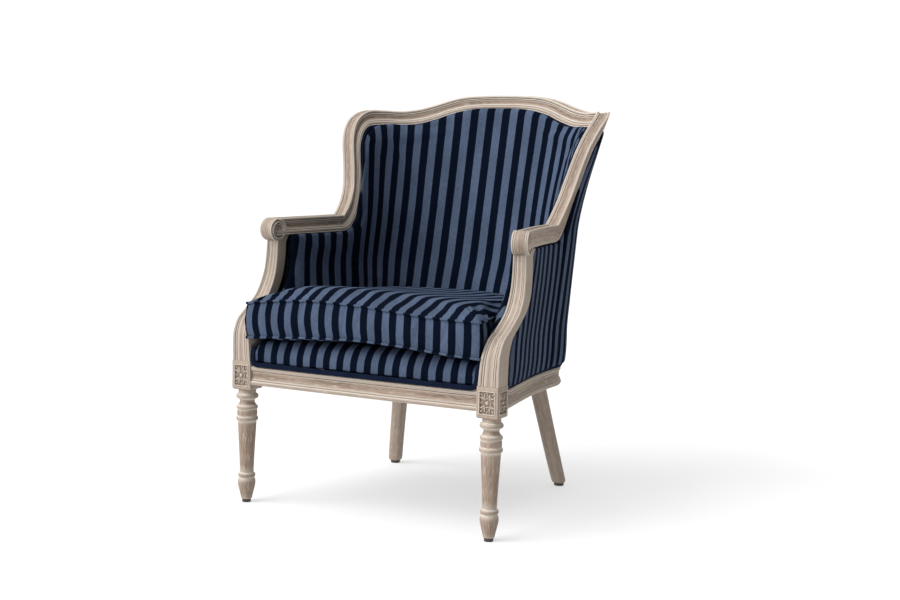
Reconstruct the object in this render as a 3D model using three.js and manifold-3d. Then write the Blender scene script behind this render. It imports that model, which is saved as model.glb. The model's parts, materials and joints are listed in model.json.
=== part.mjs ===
// Bergere armchair: a carved and limed hardwood frame with a tub-shaped upholstered back and a loose
// seat cushion. Millimetres, +Z up, the chair faces -Y, x = 0 is its plane of symmetry, and the
// origin is on the floor under the centre of the bounding box.
import * as THREE from 'three';
import { mergeVertices } from 'three/addons/utils/BufferGeometryUtils.js';
import Module from 'manifold-3d';

const wasm = await Module();
wasm.setup();

// ---- Driving dimensions ------------------------------------------------------------------------

const GAP = 0.3; // between faces that rest on each other
const SOFT_GAP = 1.5; // between upholstery and whatever it is pulled over

const FRONT_FACE = -370; // y of the front of the leg blocks
const BLOCK_SIZE = 51; // square section of the leg blocks
const BLOCK_OUTER = 344.5; // x of the outer face of a leg block
const BLOCK_BOTTOM = 270;
const BLOCK_TOP = 339;
const LEG_TENON = 4; // how far the turning runs up into its block

const RAIL_BOTTOM = 284;
const RAIL_TOP = 328;
const RAIL_THICKNESS = 30;
const RAIL_SETBACK = 3.5; // of the front rail behind the faces of the blocks
const FRONT_RAIL_BOW = 3; // how far the middle of the front rail stands forward
const FRONT_TENON = 11; // how far the plan of the tub runs on into the blocks
const REAR_RAIL_REACH = 210; // half length of the curved rear rail, measured round its outside

const GLIDE_HEIGHT = 8;
const GLIDE_RADIUS = 11;
const REAR_GLIDE_RADIUS = 13;

const REAR_LEG_FOOT = { x: 240, y: 223, width: 32 };
const REAR_LEG_HEAD = { x: 189, y: 165, width: 38 };
const REAR_LEG_SWEEP = 0.9; // power of its rake: it straightens towards the floor
const REAR_LEG_EASE = 0.86; // reach of its eased corners, as a share of a square's

const POST_HEAD = { rise: 11, depth: 37 }; // arm post ahead of the scroll's axis, and front to back
const POST_FOOT_SETBACK = 2; // the foot of the post is that much smaller than its block

const TUB_HALF_WIDTH = 301; // of the round part of the seat frame
const TUB_CORNER = 32; // y where the round part begins
const TUB_REAR = 225; // y of the middle of the rear rail
const TUB_WIDENING = 6; // of the half width from the seat to the arms
const TUB_FLARE = 80; // of the half width from the arms to the top
const TUB_FLARE_CURVE = 1.5; // its power: the wings lean out more and more
const CORNER_SHIFT = { lower: 30, upper: 50 }; // how far the corners move back, below and above the arms
const TUB_FULLNESS = { seat: 0.58, arms: 0.63 }; // of the plan's corners, from 0 for flat to 1 for square
const SIDE_EASE = 0.4; // share of the side taken by each of its curves
const SIDE_TOE = 0.15; // how much the side closes in over that share, behind its front end
const BACK_RAKE = 146; // how far the top of the back leans behind the seat frame
const ARM_SPREAD = 23; // how much wider the arms are than the seat, at the front

const ARM_TOP = 669; // at the joint with the stile
const ARM_DEPTH = 40;
const ARM_THICKNESS = 37;
const ARM_FALL = 3; // how much lower the arm is at its scroll
const ARM_LEVEL_REACH = 600; // where most of the fall begins, measured round the back
const SCROLL_RADIUS = 27;
const SCROLL_Y = -229; // axis of the scroll
const SCROLL_PROUD = 1; // scroll beyond each face of the arm

const BACK_THICKNESS = 33; // of the stiles and crest rail
const STILE_FOOT = 499; // joint of arm and stile, measured round the back
const CREST_TOP = 981;
const CREST_DEPTH = 35;
const EAR_DROP = 44; // how much lower the ears are
const CREST_JOINT = 350; // half length of the crest rail, measured round the back

const PANEL_OUTSIDE = 2; // outside covers beyond the wooden frame
const PANEL_INSIDE = -6;
const UPRIGHT_OUTSIDE = -7.5; // hidden framing between the covers
const UPRIGHT_INSIDE = -20;
const UPRIGHT_WIDTH = 42;
const BACK_UPRIGHT_PLACE = 150; // measured round the back
const SIDE_UPRIGHT_AHEAD = 4; // of the foot of the stile
const SIDE_UPRIGHT_REACH = 0.5; // above the low end of the arm
const STAY_RAIL_HEIGHT = 32;
const STAY_RAIL_BOTTOM = 420;
const PAD_BACK = -28; // rear face of the inside padding
const PAD_EDGE = -38; // inside padding where it meets the wood
const PAD_CROWN = 20; // how much further it swells
const PAD_ROLL = 60; // distance from its edges over which it swells
const PAD_SEAM = 457; // seam between the inside back and the inside arms
const WELT_RADIUS = 3.6;
const WELT_INSET = WELT_RADIUS + 1.6; // centre of a welt from the wooden edge beside it
const PAD_INSET = 2 * WELT_INSET + 1; // padding from the same edge

const WEBBING = { width: 50, thickness: 2, pitch: 90, crossPitch: 105 };
const DECK_TOP = 394;
const DECK_NOSE = 14; // rounding of the front edge of the deck
const DECK_LAYERS = 0.7; // power that crowds the deck's layers towards its top
const CUSHION_THICKNESS = 80;
const CUSHION_CROWN = 16;
const CUSHION_FULLNESS = 0.6; // power of the crown: lower is fuller
const CUSHION_CLEARANCE = 3; // round the cushion
const CUSHION_PROUD = 1; // in front of the leg blocks
const BRACE_SIZE = 70;
const BRACE_HEIGHT = 26;
const BRACE_SETBACK = 4; // above the bottom of the rails
const DUST_COVER_THICKNESS = 1.5;
const DUST_COVER_SETBACK = 1; // above the bottom of the rails

// ---- Materials ---------------------------------------------------------------------------------

const oak = new THREE.MeshStandardMaterial({ color: 0xb9a48c, roughness: 0.7, metalness: 0 });
const beech = new THREE.MeshStandardMaterial({ color: 0xc9a878, roughness: 0.8, metalness: 0 });
const stripe = new THREE.MeshStandardMaterial({ color: 0x2c3850, roughness: 0.9, metalness: 0 });
const welting = new THREE.MeshStandardMaterial({ color: 0x0c1426, roughness: 0.9, metalness: 0 });
const jute = new THREE.MeshStandardMaterial({ color: 0x9c8458, roughness: 0.95, metalness: 0 });
const lining = new THREE.MeshStandardMaterial({ color: 0x101012, roughness: 0.95, metalness: 0 });
const nylon = new THREE.MeshStandardMaterial({ color: 0x2a2622, roughness: 0.6, metalness: 0 });

// ---- The tub: the outer face of the frame ------------------------------------------------------

// Each height has its own plan, a quarter of a rounded oblong that starts at the middle of the back
// and runs into a side that spreads towards the front. The seat frame is upright, and the tub leans
// back and widens above it. A place on the tub is (s, z, n): s is the distance round the plan from
// the middle of the back, z the height, n the distance outwards.
const FLARE_START = ARM_TOP - ARM_DEPTH / 2;
const TUB_FRONT = FRONT_FACE + BLOCK_SIZE - FRONT_TENON;
const EAR_TOP = CREST_TOP - EAR_DROP;

function tubPlan(z) {
  const lower = THREE.MathUtils.clamp((z - RAIL_TOP) / (FLARE_START - RAIL_TOP), 0, 1);
  const upper = Math.max(0, z - FLARE_START) / (CREST_TOP - FLARE_START);
  const halfWidth = TUB_HALF_WIDTH + TUB_WIDENING * lower + TUB_FLARE * upper ** TUB_FLARE_CURVE;
  const corner = TUB_CORNER + CORNER_SHIFT.lower * lower + CORNER_SHIFT.upper * upper;
  const rear = TUB_REAR + BACK_RAKE * Math.max(0, (z - RAIL_TOP) / (CREST_TOP - RAIL_TOP));
  const fullness = THREE.MathUtils.lerp(TUB_FULLNESS.seat, TUB_FULLNESS.arms, lower);
  const frontX = BLOCK_OUTER - RAIL_SETBACK + ARM_SPREAD * lower;
  const side = (corner - TUB_FRONT) * SIDE_EASE;
  const rounding = corner + fullness * (rear - corner);
  return new THREE.Path()
    .moveTo(0, rear)
    .bezierCurveTo(fullness * halfWidth, rear, halfWidth, rounding, halfWidth, corner)
    .bezierCurveTo(halfWidth, corner - side, frontX - SIDE_TOE * side, TUB_FRONT + side, frontX, TUB_FRONT);
}

const plans = new Map();
function planAt(z) {
  const key = z.toFixed(2);
  if (!plans.has(key)) {
    const path = tubPlan(z);
    plans.set(key, { path, length: path.getLength() });
  }
  return plans.get(key);
}

/** The point of the tub at s round the back, height z, and n outwards. */
function tub(s, z, n = 0) {
  const { path, length } = planAt(z);
  const t = Math.min(Math.abs(s) / length, 1);
  const point = path.getPoint(t);
  const tangent = path.getTangent(t);
  return new THREE.Vector3(Math.sign(s || 1) * (point.x - n * tangent.y), point.y + n * tangent.x, z);
}

/** Where test() of a point of the tub turns from true to false, going round from the back. */
function turning(test, z, n) {
  let [near, far] = [0, planAt(z).length];
  for (let step = 0; step < 30; step++) {
    const middle = (near + far) / 2;
    if (test(tub(middle, z, n))) near = middle;
    else far = middle;
  }
  return near;
}

/** How far round the back the tub gets to the given y, at height z and depth n. */
const reach = (y, z, n = 0) => turning((point) => point.y > y, z, n);

/** The y of the back of the tub at the given x, at height z and depth n. */
const rearAt = (x, z, n = 0) => tub(turning((point) => point.x < x, z, n), z, n).y;

// ---- Solids ------------------------------------------------------------------------------------

/** A closed geometry with shared corners, its faces turned outwards. */
function weld(geometry) {
  geometry.deleteAttribute('normal');
  geometry.deleteAttribute('uv');
  const welded = mergeVertices(geometry, 1e-4);
  const p = welded.attributes.position;
  const corner = [new THREE.Vector3(), new THREE.Vector3(), new THREE.Vector3()];
  let volume = 0;
  for (let i = 0; i < welded.index.count; i += 3) {
    corner.forEach((v, k) => v.fromBufferAttribute(p, welded.index.getX(i + k)));
    volume += corner[0].dot(corner[1].clone().cross(corner[2]));
  }
  if (volume < 0) welded.index.array.reverse();
  return welded;
}

/** A box of nu x nv x nw cells whose points (0..1 each way) are moved to where place() says. */
function shaped([nu, nv, nw], place) {
  const geometry = new THREE.BoxGeometry(1, 1, 1, nu, nv, nw).translate(0.5, 0.5, 0.5);
  const p = geometry.attributes.position;
  for (let i = 0; i < p.count; i++) {
    const spot = place(p.getX(i), p.getY(i), p.getZ(i));
    p.setXYZ(i, spot.x, spot.y, spot.z);
  }
  return weld(geometry);
}

function toSolid(geometry) {
  return new wasm.Manifold(new wasm.Mesh({
    numProp: 3,
    vertProperties: new Float32Array(geometry.attributes.position.array),
    triVerts: new Uint32Array(geometry.index.array),
  }));
}

function toGeometry(solid) {
  const mesh = solid.getMesh();
  const geometry = new THREE.BufferGeometry();
  geometry.setAttribute('position', new THREE.BufferAttribute(mesh.vertProperties, 3));
  geometry.setIndex(new THREE.BufferAttribute(mesh.triVerts, 1));
  return geometry;
}

const joined = (a, b) => toGeometry(toSolid(a).add(toSolid(b)));
const cut = (a, b) => toGeometry(toSolid(a).subtract(toSolid(b)));

function mirrored(geometry) {
  return weld(geometry.clone().scale(-1, 1, 1));
}

/** The curve through the given [a, b] pairs, as a function of t that gives a pair. */
function through(pairs) {
  const points = pairs.map(([a, b]) => new THREE.Vector3(a, b, 0));
  const curve = new THREE.CatmullRomCurve3(points, false, 'centripetal');
  return (t) => curve.getPoint(t);
}

/** What b is where the curve through the pairs crosses a, for pairs in order of rising a. */
function along(pairs, a) {
  const last = pairs.length - 1;
  if (a <= pairs[0][0]) return pairs[0][1];
  if (a >= pairs[last][0]) return pairs[last][1];
  const i = pairs.findIndex(([value]) => value > a);
  const [[a0, b0], [a1, b1]] = [pairs[i - 1], pairs[i]];
  return THREE.MathUtils.lerp(b0, b1, (a - a0) / (a1 - a0));
}

/** A wooden member of the tub between two edges drawn in (s, z), n from outside to inside. */
function member(outer, inner, steps, outside, inside) {
  const [upper, lower] = [through(outer), through(inner)];
  return shaped([steps, 1, 1], (u, v, w) => {
    const at = upper(u).lerp(lower(u), v);
    return tub(at.x, at.y, THREE.MathUtils.lerp(outside, inside, w));
  });
}

/** A patch of the tub: spot() gives (s, z) at each depth, inside() the depth of its inner face. */
function patch([nu, nv], spot, outside, inside) {
  return shaped([nu, nv, 1], (u, v, w) => {
    const [s, z] = spot(u, v, outside);
    if (w < 0.5) return tub(s, z, outside);
    const n = inside(s, z);
    const [innerS, innerZ] = spot(u, v, n);
    return tub(innerS, innerZ, n);
  });
}

/** A round cord along points. */
function cord(points, radius, steps) {
  const circle = new THREE.Shape().absarc(0, 0, radius, 0, 2 * Math.PI);
  const path = new THREE.CatmullRomCurve3(points, false, 'centripetal');
  const settings = { steps, extrudePath: path, curveSegments: 4 };
  return weld(new THREE.ExtrudeGeometry(circle, settings));
}

// ---- The chair ---------------------------------------------------------------------------------

const chair = new THREE.Group();

function add(name, geometry, material) {
  const mesh = new THREE.Mesh(geometry, material);
  mesh.name = name;
  chair.add(mesh);
}

/** A piece and its mirror twin. */
function addPair(name, geometry, material) {
  add(`${name}_right`, geometry, material);
  add(`${name}_left`, mirrored(geometry), material);
}

// Front legs: turned below, a square block with the rails' joints above.
const legX = BLOCK_OUTER - BLOCK_SIZE / 2;
const legY = FRONT_FACE + BLOCK_SIZE / 2;
const legProfile = [
  [0, GLIDE_HEIGHT + GAP], [12.5, GLIDE_HEIGHT + GAP], [16, 24], [20.5, 44], [20.5, 54], [17, 60],
  [19.3, 61], [19.3, 68], [16, 72], [21.8, 193], [25, 197], [25, 205], [23.5, 207], [23.5, 221],
  [24.5, 224], [24.5, 231], [17, 237], [17, 246], [25.5, 249], [25.5, 258], [19, 262],
  [19, BLOCK_BOTTOM + LEG_TENON], [0, BLOCK_BOTTOM + LEG_TENON],
].map(([r, z]) => new THREE.Vector2(r, z));
const turnedLeg = weld(new THREE.LatheGeometry(legProfile, 16).rotateX(Math.PI / 2));
turnedLeg.translate(legX, legY, 0);
const blockHeight = BLOCK_TOP - BLOCK_BOTTOM;
const block = weld(new THREE.BoxGeometry(BLOCK_SIZE, BLOCK_SIZE, blockHeight));
block.translate(legX, legY, BLOCK_BOTTOM + blockHeight / 2);
addPair('front_leg', joined(turnedLeg, block), oak);

function glide(x, y, radius) {
  const disc = new THREE.CylinderGeometry(radius, radius - 1, GLIDE_HEIGHT, 16).rotateX(Math.PI / 2);
  return weld(disc.translate(x, y, GLIDE_HEIGHT / 2));
}
addPair('front_glide', glide(legX, legY, GLIDE_RADIUS), nylon);

// Rear legs: raked back and splayed, thicker towards the seat.
function rearLegAt(z) {
  const t = z / RAIL_BOTTOM;
  return {
    x: THREE.MathUtils.lerp(REAR_LEG_FOOT.x, REAR_LEG_HEAD.x, t),
    y: THREE.MathUtils.lerp(REAR_LEG_FOOT.y, REAR_LEG_HEAD.y, t ** REAR_LEG_SWEEP),
    half: THREE.MathUtils.lerp(REAR_LEG_FOOT.width, REAR_LEG_HEAD.width, t) / 2,
  };
}
const rearLeg = shaped([2, 2, 8], (u, v, w) => {
  const z = THREE.MathUtils.lerp(GLIDE_HEIGHT + GAP, RAIL_BOTTOM - GAP, w);
  const { x, y, half } = rearLegAt(z);
  const round = u !== 0.5 && v !== 0.5 ? REAR_LEG_EASE : 1;
  return new THREE.Vector3(x + (2 * u - 1) * half * round, y + (2 * v - 1) * half * round, z);
});
addPair('rear_leg', rearLeg, oak);
const foot = rearLegAt(GLIDE_HEIGHT);
addPair('rear_glide', glide(foot.x, foot.y, REAR_GLIDE_RADIUS), nylon);

// Seat rails: a bowed front rail between the blocks, and three curved rails round the tub.
const frontRailHalf = BLOCK_OUTER - BLOCK_SIZE - GAP;
const bow = (x) => FRONT_RAIL_BOW * (1 - (x / frontRailHalf) ** 2);
const frontRailFace = (x) => FRONT_FACE + RAIL_SETBACK - bow(x);
const frontRail = shaped([10, 1, 1], (u, v, w) => {
  const x = (2 * u - 1) * frontRailHalf;
  const z = THREE.MathUtils.lerp(RAIL_BOTTOM, RAIL_TOP, w);
  return new THREE.Vector3(x, frontRailFace(x) + v * RAIL_THICKNESS, z);
});
add('front_rail', frontRail, oak);

const blockRear = FRONT_FACE + BLOCK_SIZE + GAP;
function curvedRail(from, to, steps) {
  return patch([steps, 1], (u, v, n) => {
    const z = THREE.MathUtils.lerp(RAIL_BOTTOM, RAIL_TOP, v);
    return [THREE.MathUtils.lerp(from, to(n), u), z];
  }, 0, () => -RAIL_THICKNESS);
}
const sideRailStart = REAR_RAIL_REACH + 2 * GAP;
addPair('side_rail', curvedRail(sideRailStart, (n) => reach(blockRear, RAIL_TOP, n), 22), oak);
add('rear_rail', curvedRail(-REAR_RAIL_REACH, () => REAR_RAIL_REACH, 20), oak);

// Arm posts: S-shaped, from the block up and back to the scroll. The sweep is how far back the post
// has come, from 0 over the block to 1 under the scroll, at each share of its height.
const POST_SWEEP = [
  [0, 0], [0.125, 0], [0.23, 0.02], [0.3, 0.08], [0.345, 0.145], [0.436, 0.42], [0.554, 0.745],
  [0.7, 0.92], [0.84, 0.984], [1, 1],
];
const POST_OUTER = [[0, 0], [0.345, 1.5], [0.56, 2.5], [0.77, -0.5], [1, -3.5]];
const POST_INNER = [[0, 1.5 - BLOCK_SIZE], [0.21, -44.5], [0.39, -38.5], [0.56, -35.5], [1, -35.5]];
const postBottom = BLOCK_TOP + GAP;
const postTop = ARM_TOP - ARM_FALL - ARM_DEPTH - GAP;
const postShare = (z) => THREE.MathUtils.clamp((z - BLOCK_TOP) / (postTop - BLOCK_TOP), 0, 1);
const postSweep = (z) => along(POST_SWEEP, postShare(z));
const postFront = (z) => THREE.MathUtils.lerp(FRONT_FACE, SCROLL_Y - POST_HEAD.rise, postSweep(z));
const postFootDepth = BLOCK_SIZE - POST_FOOT_SETBACK;
const postDepth = (z) => THREE.MathUtils.lerp(postFootDepth, POST_HEAD.depth, postSweep(z));
const postRear = (z) => postFront(z) + postDepth(z);
const postOuter = (z) => BLOCK_OUTER + along(POST_OUTER, postShare(z));
const postInner = (z) => BLOCK_OUTER + along(POST_INNER, postShare(z));
const postBody = shaped([1, 1, 28], (u, v, w) => {
  const z = THREE.MathUtils.lerp(postBottom, postTop, w);
  const x = THREE.MathUtils.lerp(postInner(z), postOuter(z), u);
  return new THREE.Vector3(x, postFront(z) + v * postDepth(z), z);
});
const scrollZ = ARM_TOP - ARM_FALL - SCROLL_RADIUS;
function scroll(radius, length) {
  const s = reach(SCROLL_Y, scrollZ);
  const middle = tub(s, scrollZ, -ARM_THICKNESS / 2);
  const outward = tub(s, scrollZ, 0).sub(middle).normalize();
  const roll = new THREE.CylinderGeometry(radius, radius, length, 24);
  roll.rotateZ(-Math.PI / 2).rotateZ(Math.atan2(outward.y, outward.x));
  return weld(roll.translate(middle.x, middle.y, middle.z));
}
addPair('arm_post', cut(postBody, scroll(SCROLL_RADIUS + GAP, 3 * ARM_THICKNESS)), oak);

// Armrests: level arms that close in towards the back, each ending in a scroll.
const armFront = reach(SCROLL_Y, ARM_TOP);
const armTopEdge = [
  [armFront, ARM_TOP - ARM_FALL], [ARM_LEVEL_REACH, ARM_TOP - 1], [STILE_FOOT + GAP, ARM_TOP],
];
const armBottomEdge = armTopEdge.map(([s, z]) => [s, z - ARM_DEPTH]);
const arm = member(armTopEdge, armBottomEdge, 14, 0, -ARM_THICKNESS);
addPair('armrest', joined(arm, scroll(SCROLL_RADIUS, ARM_THICKNESS + 2 * SCROLL_PROUD)), oak);

// Back stiles: from the end of the arm up and back, round the ear to the crest rail.
const backHeight = (t) => THREE.MathUtils.lerp(ARM_TOP, EAR_TOP, t);
const armUnderside = ARM_TOP - ARM_DEPTH;
const STILE_FRONT = [
  [STILE_FOOT, ARM_TOP], [STILE_FOOT - 11, backHeight(0.052)], [STILE_FOOT - 22, backHeight(0.123)],
  [STILE_FOOT - 32, backHeight(0.246)], [STILE_FOOT - 32, backHeight(0.358)],
  [STILE_FOOT - 28, backHeight(0.519)], [STILE_FOOT - 24, backHeight(0.675)],
  [STILE_FOOT - 29, EAR_TOP - 57], [STILE_FOOT - 42, EAR_TOP - 33], [STILE_FOOT - 66, EAR_TOP - 13],
  [STILE_FOOT - 101, EAR_TOP - 1], [CREST_JOINT + GAP, EAR_TOP],
];
const STILE_REAR = [
  [STILE_FOOT, armUnderside], [STILE_FOOT - 21, armUnderside + 6], [STILE_FOOT - 39, armUnderside + 25],
  [STILE_FOOT - 50, backHeight(0.049)], [STILE_FOOT - 57, backHeight(0.19)],
  [STILE_FOOT - 60, backHeight(0.358)], [STILE_FOOT - 55, backHeight(0.519)],
  [STILE_FOOT - 54, EAR_TOP - 95], [STILE_FOOT - 61, EAR_TOP - 73], [STILE_FOOT - 72, EAR_TOP - 56],
  [STILE_FOOT - 90, EAR_TOP - 44], [CREST_JOINT + GAP, EAR_TOP - 37],
];
addPair('back_stile', member(STILE_FRONT, STILE_REAR, 44, 0, -BACK_THICKNESS), oak);

// Crest rail: serpentine, highest in the middle.
const crestHeight = (t) => THREE.MathUtils.lerp(EAR_TOP, CREST_TOP, t);
const CREST_UPPER = [
  [0, crestHeight(1)], [60, crestHeight(0.977)], [122, crestHeight(0.875)], [162, crestHeight(0.66)],
  [201, crestHeight(0.386)], [240, crestHeight(0.148)], [290, crestHeight(-0.01)],
  [CREST_JOINT, crestHeight(0)],
];
const CREST_LOWER = [
  [0, 1], [60, 0.977], [100, 0.886], [150, 0.636], [191, 0.318], [245, 0.023], [290, -0.045],
  [CREST_JOINT, -0.045],
].map(([s, t]) => [s, crestHeight(t) - CREST_DEPTH]);
const bothSides = (half) => [...half.slice(1).map(([s, z]) => [-s, z]).reverse(), ...half];
const crestRail = member(bothSides(CREST_UPPER), bothSides(CREST_LOWER), 56, 0, -BACK_THICKNESS);
add('crest_rail', crestRail, oak);

// ---- Hidden framing ----------------------------------------------------------------------------

// What hangs below the wood: the height of its lower edge at s, and how far round the stile's rear
// edge is at z.
const edgeBelow = [...CREST_LOWER, ...STILE_REAR.slice(7).reverse()];
const undersideAt = (s) => along(edgeBelow, Math.abs(s));
const stileEdge = [
  [armUnderside + 20, PAD_SEAM + PAD_INSET],
  ...STILE_REAR.slice(3, 8).map(([s, z]) => [z, s]),
];
const stileRearAt = (z) => along(stileEdge, z);
const armFrontUnderside = armUnderside - ARM_FALL;
const postReach = (z, n) => reach(postRear(z), z, n);
const frameBottom = RAIL_TOP + GAP;

const sideUprightPlace = STILE_FOOT + SIDE_UPRIGHT_AHEAD;
const sideUprightTop = armFrontUnderside + SIDE_UPRIGHT_REACH;
const sideUpright = patch([2, 10], (u, v) => [
  sideUprightPlace + u * UPRIGHT_WIDTH,
  THREE.MathUtils.lerp(frameBottom, sideUprightTop, v),
], UPRIGHT_OUTSIDE, () => UPRIGHT_INSIDE);
addPair('side_upright', sideUpright, beech);

const backUpright = patch([2, 16], (u, v) => {
  const s = BACK_UPRIGHT_PLACE + (u - 0.5) * UPRIGHT_WIDTH;
  return [s, THREE.MathUtils.lerp(frameBottom, undersideAt(s) - 2 * GAP, v)];
}, UPRIGHT_OUTSIDE, () => UPRIGHT_INSIDE);
addPair('back_upright', backUpright, beech);

function stayRail(from, to, steps) {
  return patch([steps, 1], (u, v, n) => {
    const z = STAY_RAIL_BOTTOM + v * STAY_RAIL_HEIGHT;
    return [THREE.MathUtils.lerp(from, to(z, n), u), z];
  }, UPRIGHT_OUTSIDE, () => UPRIGHT_INSIDE);
}
const backUprightInner = BACK_UPRIGHT_PLACE - UPRIGHT_WIDTH / 2 - GAP;
const backUprightOuter = BACK_UPRIGHT_PLACE + UPRIGHT_WIDTH / 2 + GAP;
add('back_stay_rail', stayRail(-backUprightInner, () => backUprightInner, 10), beech);
addPair('rear_stay_rail', stayRail(backUprightOuter, () => sideUprightPlace - GAP, 20), beech);
const armStayStart = sideUprightPlace + UPRIGHT_WIDTH + GAP;
addPair('arm_stay_rail', stayRail(armStayStart, (z, n) => postReach(z, n) - SOFT_GAP, 8), beech);

// Corner braces inside the seat frame: three-sided blocks glued into the front corners, and blocks
// bridging the curved rear corners above the rear legs.
const braceBottom = RAIL_BOTTOM + BRACE_SETBACK;
function brace(outline) {
  const shape = new THREE.Shape(outline.map(([x, y]) => new THREE.Vector2(x, y)));
  const settings = { depth: BRACE_HEIGHT, bevelEnabled: false };
  return weld(new THREE.ExtrudeGeometry(shape, settings).translate(0, 0, braceBottom));
}
const braceDepth = -RAIL_THICKNESS - SOFT_GAP;
const sideInside = (y) => tub(reach(y, RAIL_TOP, braceDepth), RAIL_TOP, braceDepth);
const frontRailRear = FRONT_FACE + RAIL_SETBACK + RAIL_THICKNESS + GAP;
const blockInner = BLOCK_OUTER - BLOCK_SIZE - GAP;
const [braceSide, braceEnd] = [sideInside(blockRear), sideInside(blockRear + BRACE_SIZE)];
addPair('front_corner_brace', brace([
  [blockInner, frontRailRear], [blockInner, blockRear], [braceSide.x, braceSide.y],
  [braceEnd.x, braceEnd.y], [blockInner - BRACE_SIZE, frontRailRear],
]), beech);
const rearBraceOutline = [-1, -0.5, 0, 0.5, 1].map((t) => {
  const { x, y } = tub(REAR_RAIL_REACH + t * BRACE_SIZE, RAIL_TOP, braceDepth);
  return [x, y];
});
addPair('rear_corner_brace', brace(rearBraceOutline), beech);

// Webbing under the seat: straps from front to back, and straps across on top of them.
function strap(from, to, bottom) {
  const across = new THREE.Vector3().subVectors(to, from).normalize();
  const geometry = new THREE.BoxGeometry(from.distanceTo(to), WEBBING.width, WEBBING.thickness);
  geometry.rotateZ(Math.atan2(across.y, across.x));
  const middle = from.clone().lerp(to, 0.5);
  return weld(geometry.translate(middle.x, middle.y, bottom + WEBBING.thickness / 2));
}
const webbingStart = FRONT_FACE + RAIL_SETBACK + RAIL_THICKNESS / 3;
const strapEnd = UPRIGHT_INSIDE - SOFT_GAP; // on the rails, inside the uprights
function lengthwiseStrap(x) {
  const rear = rearAt(Math.abs(x) + WEBBING.width / 2, RAIL_TOP, strapEnd);
  return strap(new THREE.Vector3(x, webbingStart, 0), new THREE.Vector3(x, rear, 0), frameBottom);
}
add('seat_webbing_long_middle', lengthwiseStrap(0), jute);
const outerStrap = lengthwiseStrap(WEBBING.pitch);
add('seat_webbing_long_right', outerStrap, jute);
add('seat_webbing_long_left', mirrored(outerStrap), jute);
const crossBottom = frameBottom + WEBBING.thickness + GAP;
['front', 'middle', 'rear'].forEach((place, i) => {
  const y = webbingStart + WEBBING.crossPitch * (i + 1);
  const ends = [-1, 1].map((edge) => reach(y + (edge * WEBBING.width) / 2, RAIL_TOP, strapEnd));
  const half = Math.min(...ends.map((end) => tub(end, RAIL_TOP, strapEnd).x));
  const [from, to] = [new THREE.Vector3(-half, y, 0), new THREE.Vector3(half, y, 0)];
  add(`seat_webbing_cross_${place}`, strap(from, to, crossBottom), jute);
});

// ---- Upholstery --------------------------------------------------------------------------------

// Outside covers, stretched from the seat rail to the arms and the crest.
const coverBottom = RAIL_TOP + PAD_INSET;
const armTop = [
  [PAD_SEAM, STILE_REAR[3][1] - 24], [STILE_REAR[2][0], STILE_REAR[2][1]],
  [STILE_REAR[1][0], STILE_REAR[1][1]], [STILE_FOOT, armUnderside], [armFront, armFrontUnderside],
];
const armUndersideAt = (s) => along(armTop, s);

function backPatch(bottom, steps, outside, inside) {
  return patch(steps, (u, v) => {
    const side = 2 * u - 1;
    const top = undersideAt(side * STILE_REAR[7][0]) - PAD_INSET;
    const z = THREE.MathUtils.lerp(bottom, top, v);
    return [side * (stileRearAt(z) - PAD_INSET), z];
  }, outside, inside);
}
function armPatch(bottom, seam, steps, outside, inside) {
  return patch(steps, (u, v, n) => {
    const level = THREE.MathUtils.lerp(seam, postReach(armFrontUnderside, n), u);
    const z = THREE.MathUtils.lerp(bottom, armUndersideAt(level) - PAD_INSET, v);
    return [THREE.MathUtils.lerp(seam, postReach(z, n) - PAD_INSET, u), z];
  }, outside, inside);
}
const flat = () => PANEL_INSIDE;
add('outside_back_panel', backPatch(coverBottom, [30, 8], PANEL_OUTSIDE, flat), stripe);
const armSeam = PAD_SEAM + SOFT_GAP;
addPair('outside_arm_panel', armPatch(coverBottom, armSeam, [10, 8], PANEL_OUTSIDE, flat), stripe);

// Inside padding: a back that wraps from wing to wing, and the two arms. It swells away from the
// wood that it is tacked to.
const padBottom = crossBottom + WEBBING.thickness + SOFT_GAP;
const padDepth = (distance) => {
  const t = THREE.MathUtils.clamp(distance / PAD_ROLL, 0, 1);
  return PAD_EDGE - PAD_CROWN * Math.sin((Math.PI / 2) * t);
};
const backDepth = (s, z) => {
  const fromStile = z > armUnderside ? stileRearAt(z) - Math.abs(s) : PAD_ROLL;
  return padDepth(Math.min(undersideAt(s) - z, fromStile) - PAD_INSET);
};
add('inside_back_pad', backPatch(padBottom, [30, 12], PAD_BACK, backDepth), stripe);
const armDepth = (s, z) => padDepth(Math.min(armUndersideAt(s) - z, postReach(z) - s) - PAD_INSET);
addPair('inside_arm_pad', armPatch(padBottom, armSeam, [10, 8], PAD_BACK, armDepth), stripe);

// A plan inside the tub, as a fan from its front edge: u goes across, v from front to back. Its
// sides pass between the leg blocks, and draw in to the given depth behind them.
const NARROWING = 30;
function fan(front, half, z, depth) {
  const corner = blockRear + SOFT_GAP;
  const end = reach(corner, z, depth);
  return (u, v) => {
    const side = Math.sin(Math.PI * (u - 0.5));
    const t = Math.min(1, (end * (1 - Math.abs(side))) / NARROWING);
    const inside = tub(side * end, z, depth);
    const beside = new THREE.Vector2(Math.sign(side) * half, corner);
    const rear = beside.lerp(new THREE.Vector2(inside.x, inside.y), t);
    const start = new THREE.Vector2(side * half, front(side * half));
    return start.lerp(rear, v);
  };
}
const wellDepth = PAD_EDGE - PAD_CROWN;
const deckFront = (x) => frontRailFace(x) + 2 * WELT_RADIUS + SOFT_GAP;
const deckPlan = fan(deckFront, blockInner - SOFT_GAP, padBottom, wellDepth - SOFT_GAP);
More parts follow.
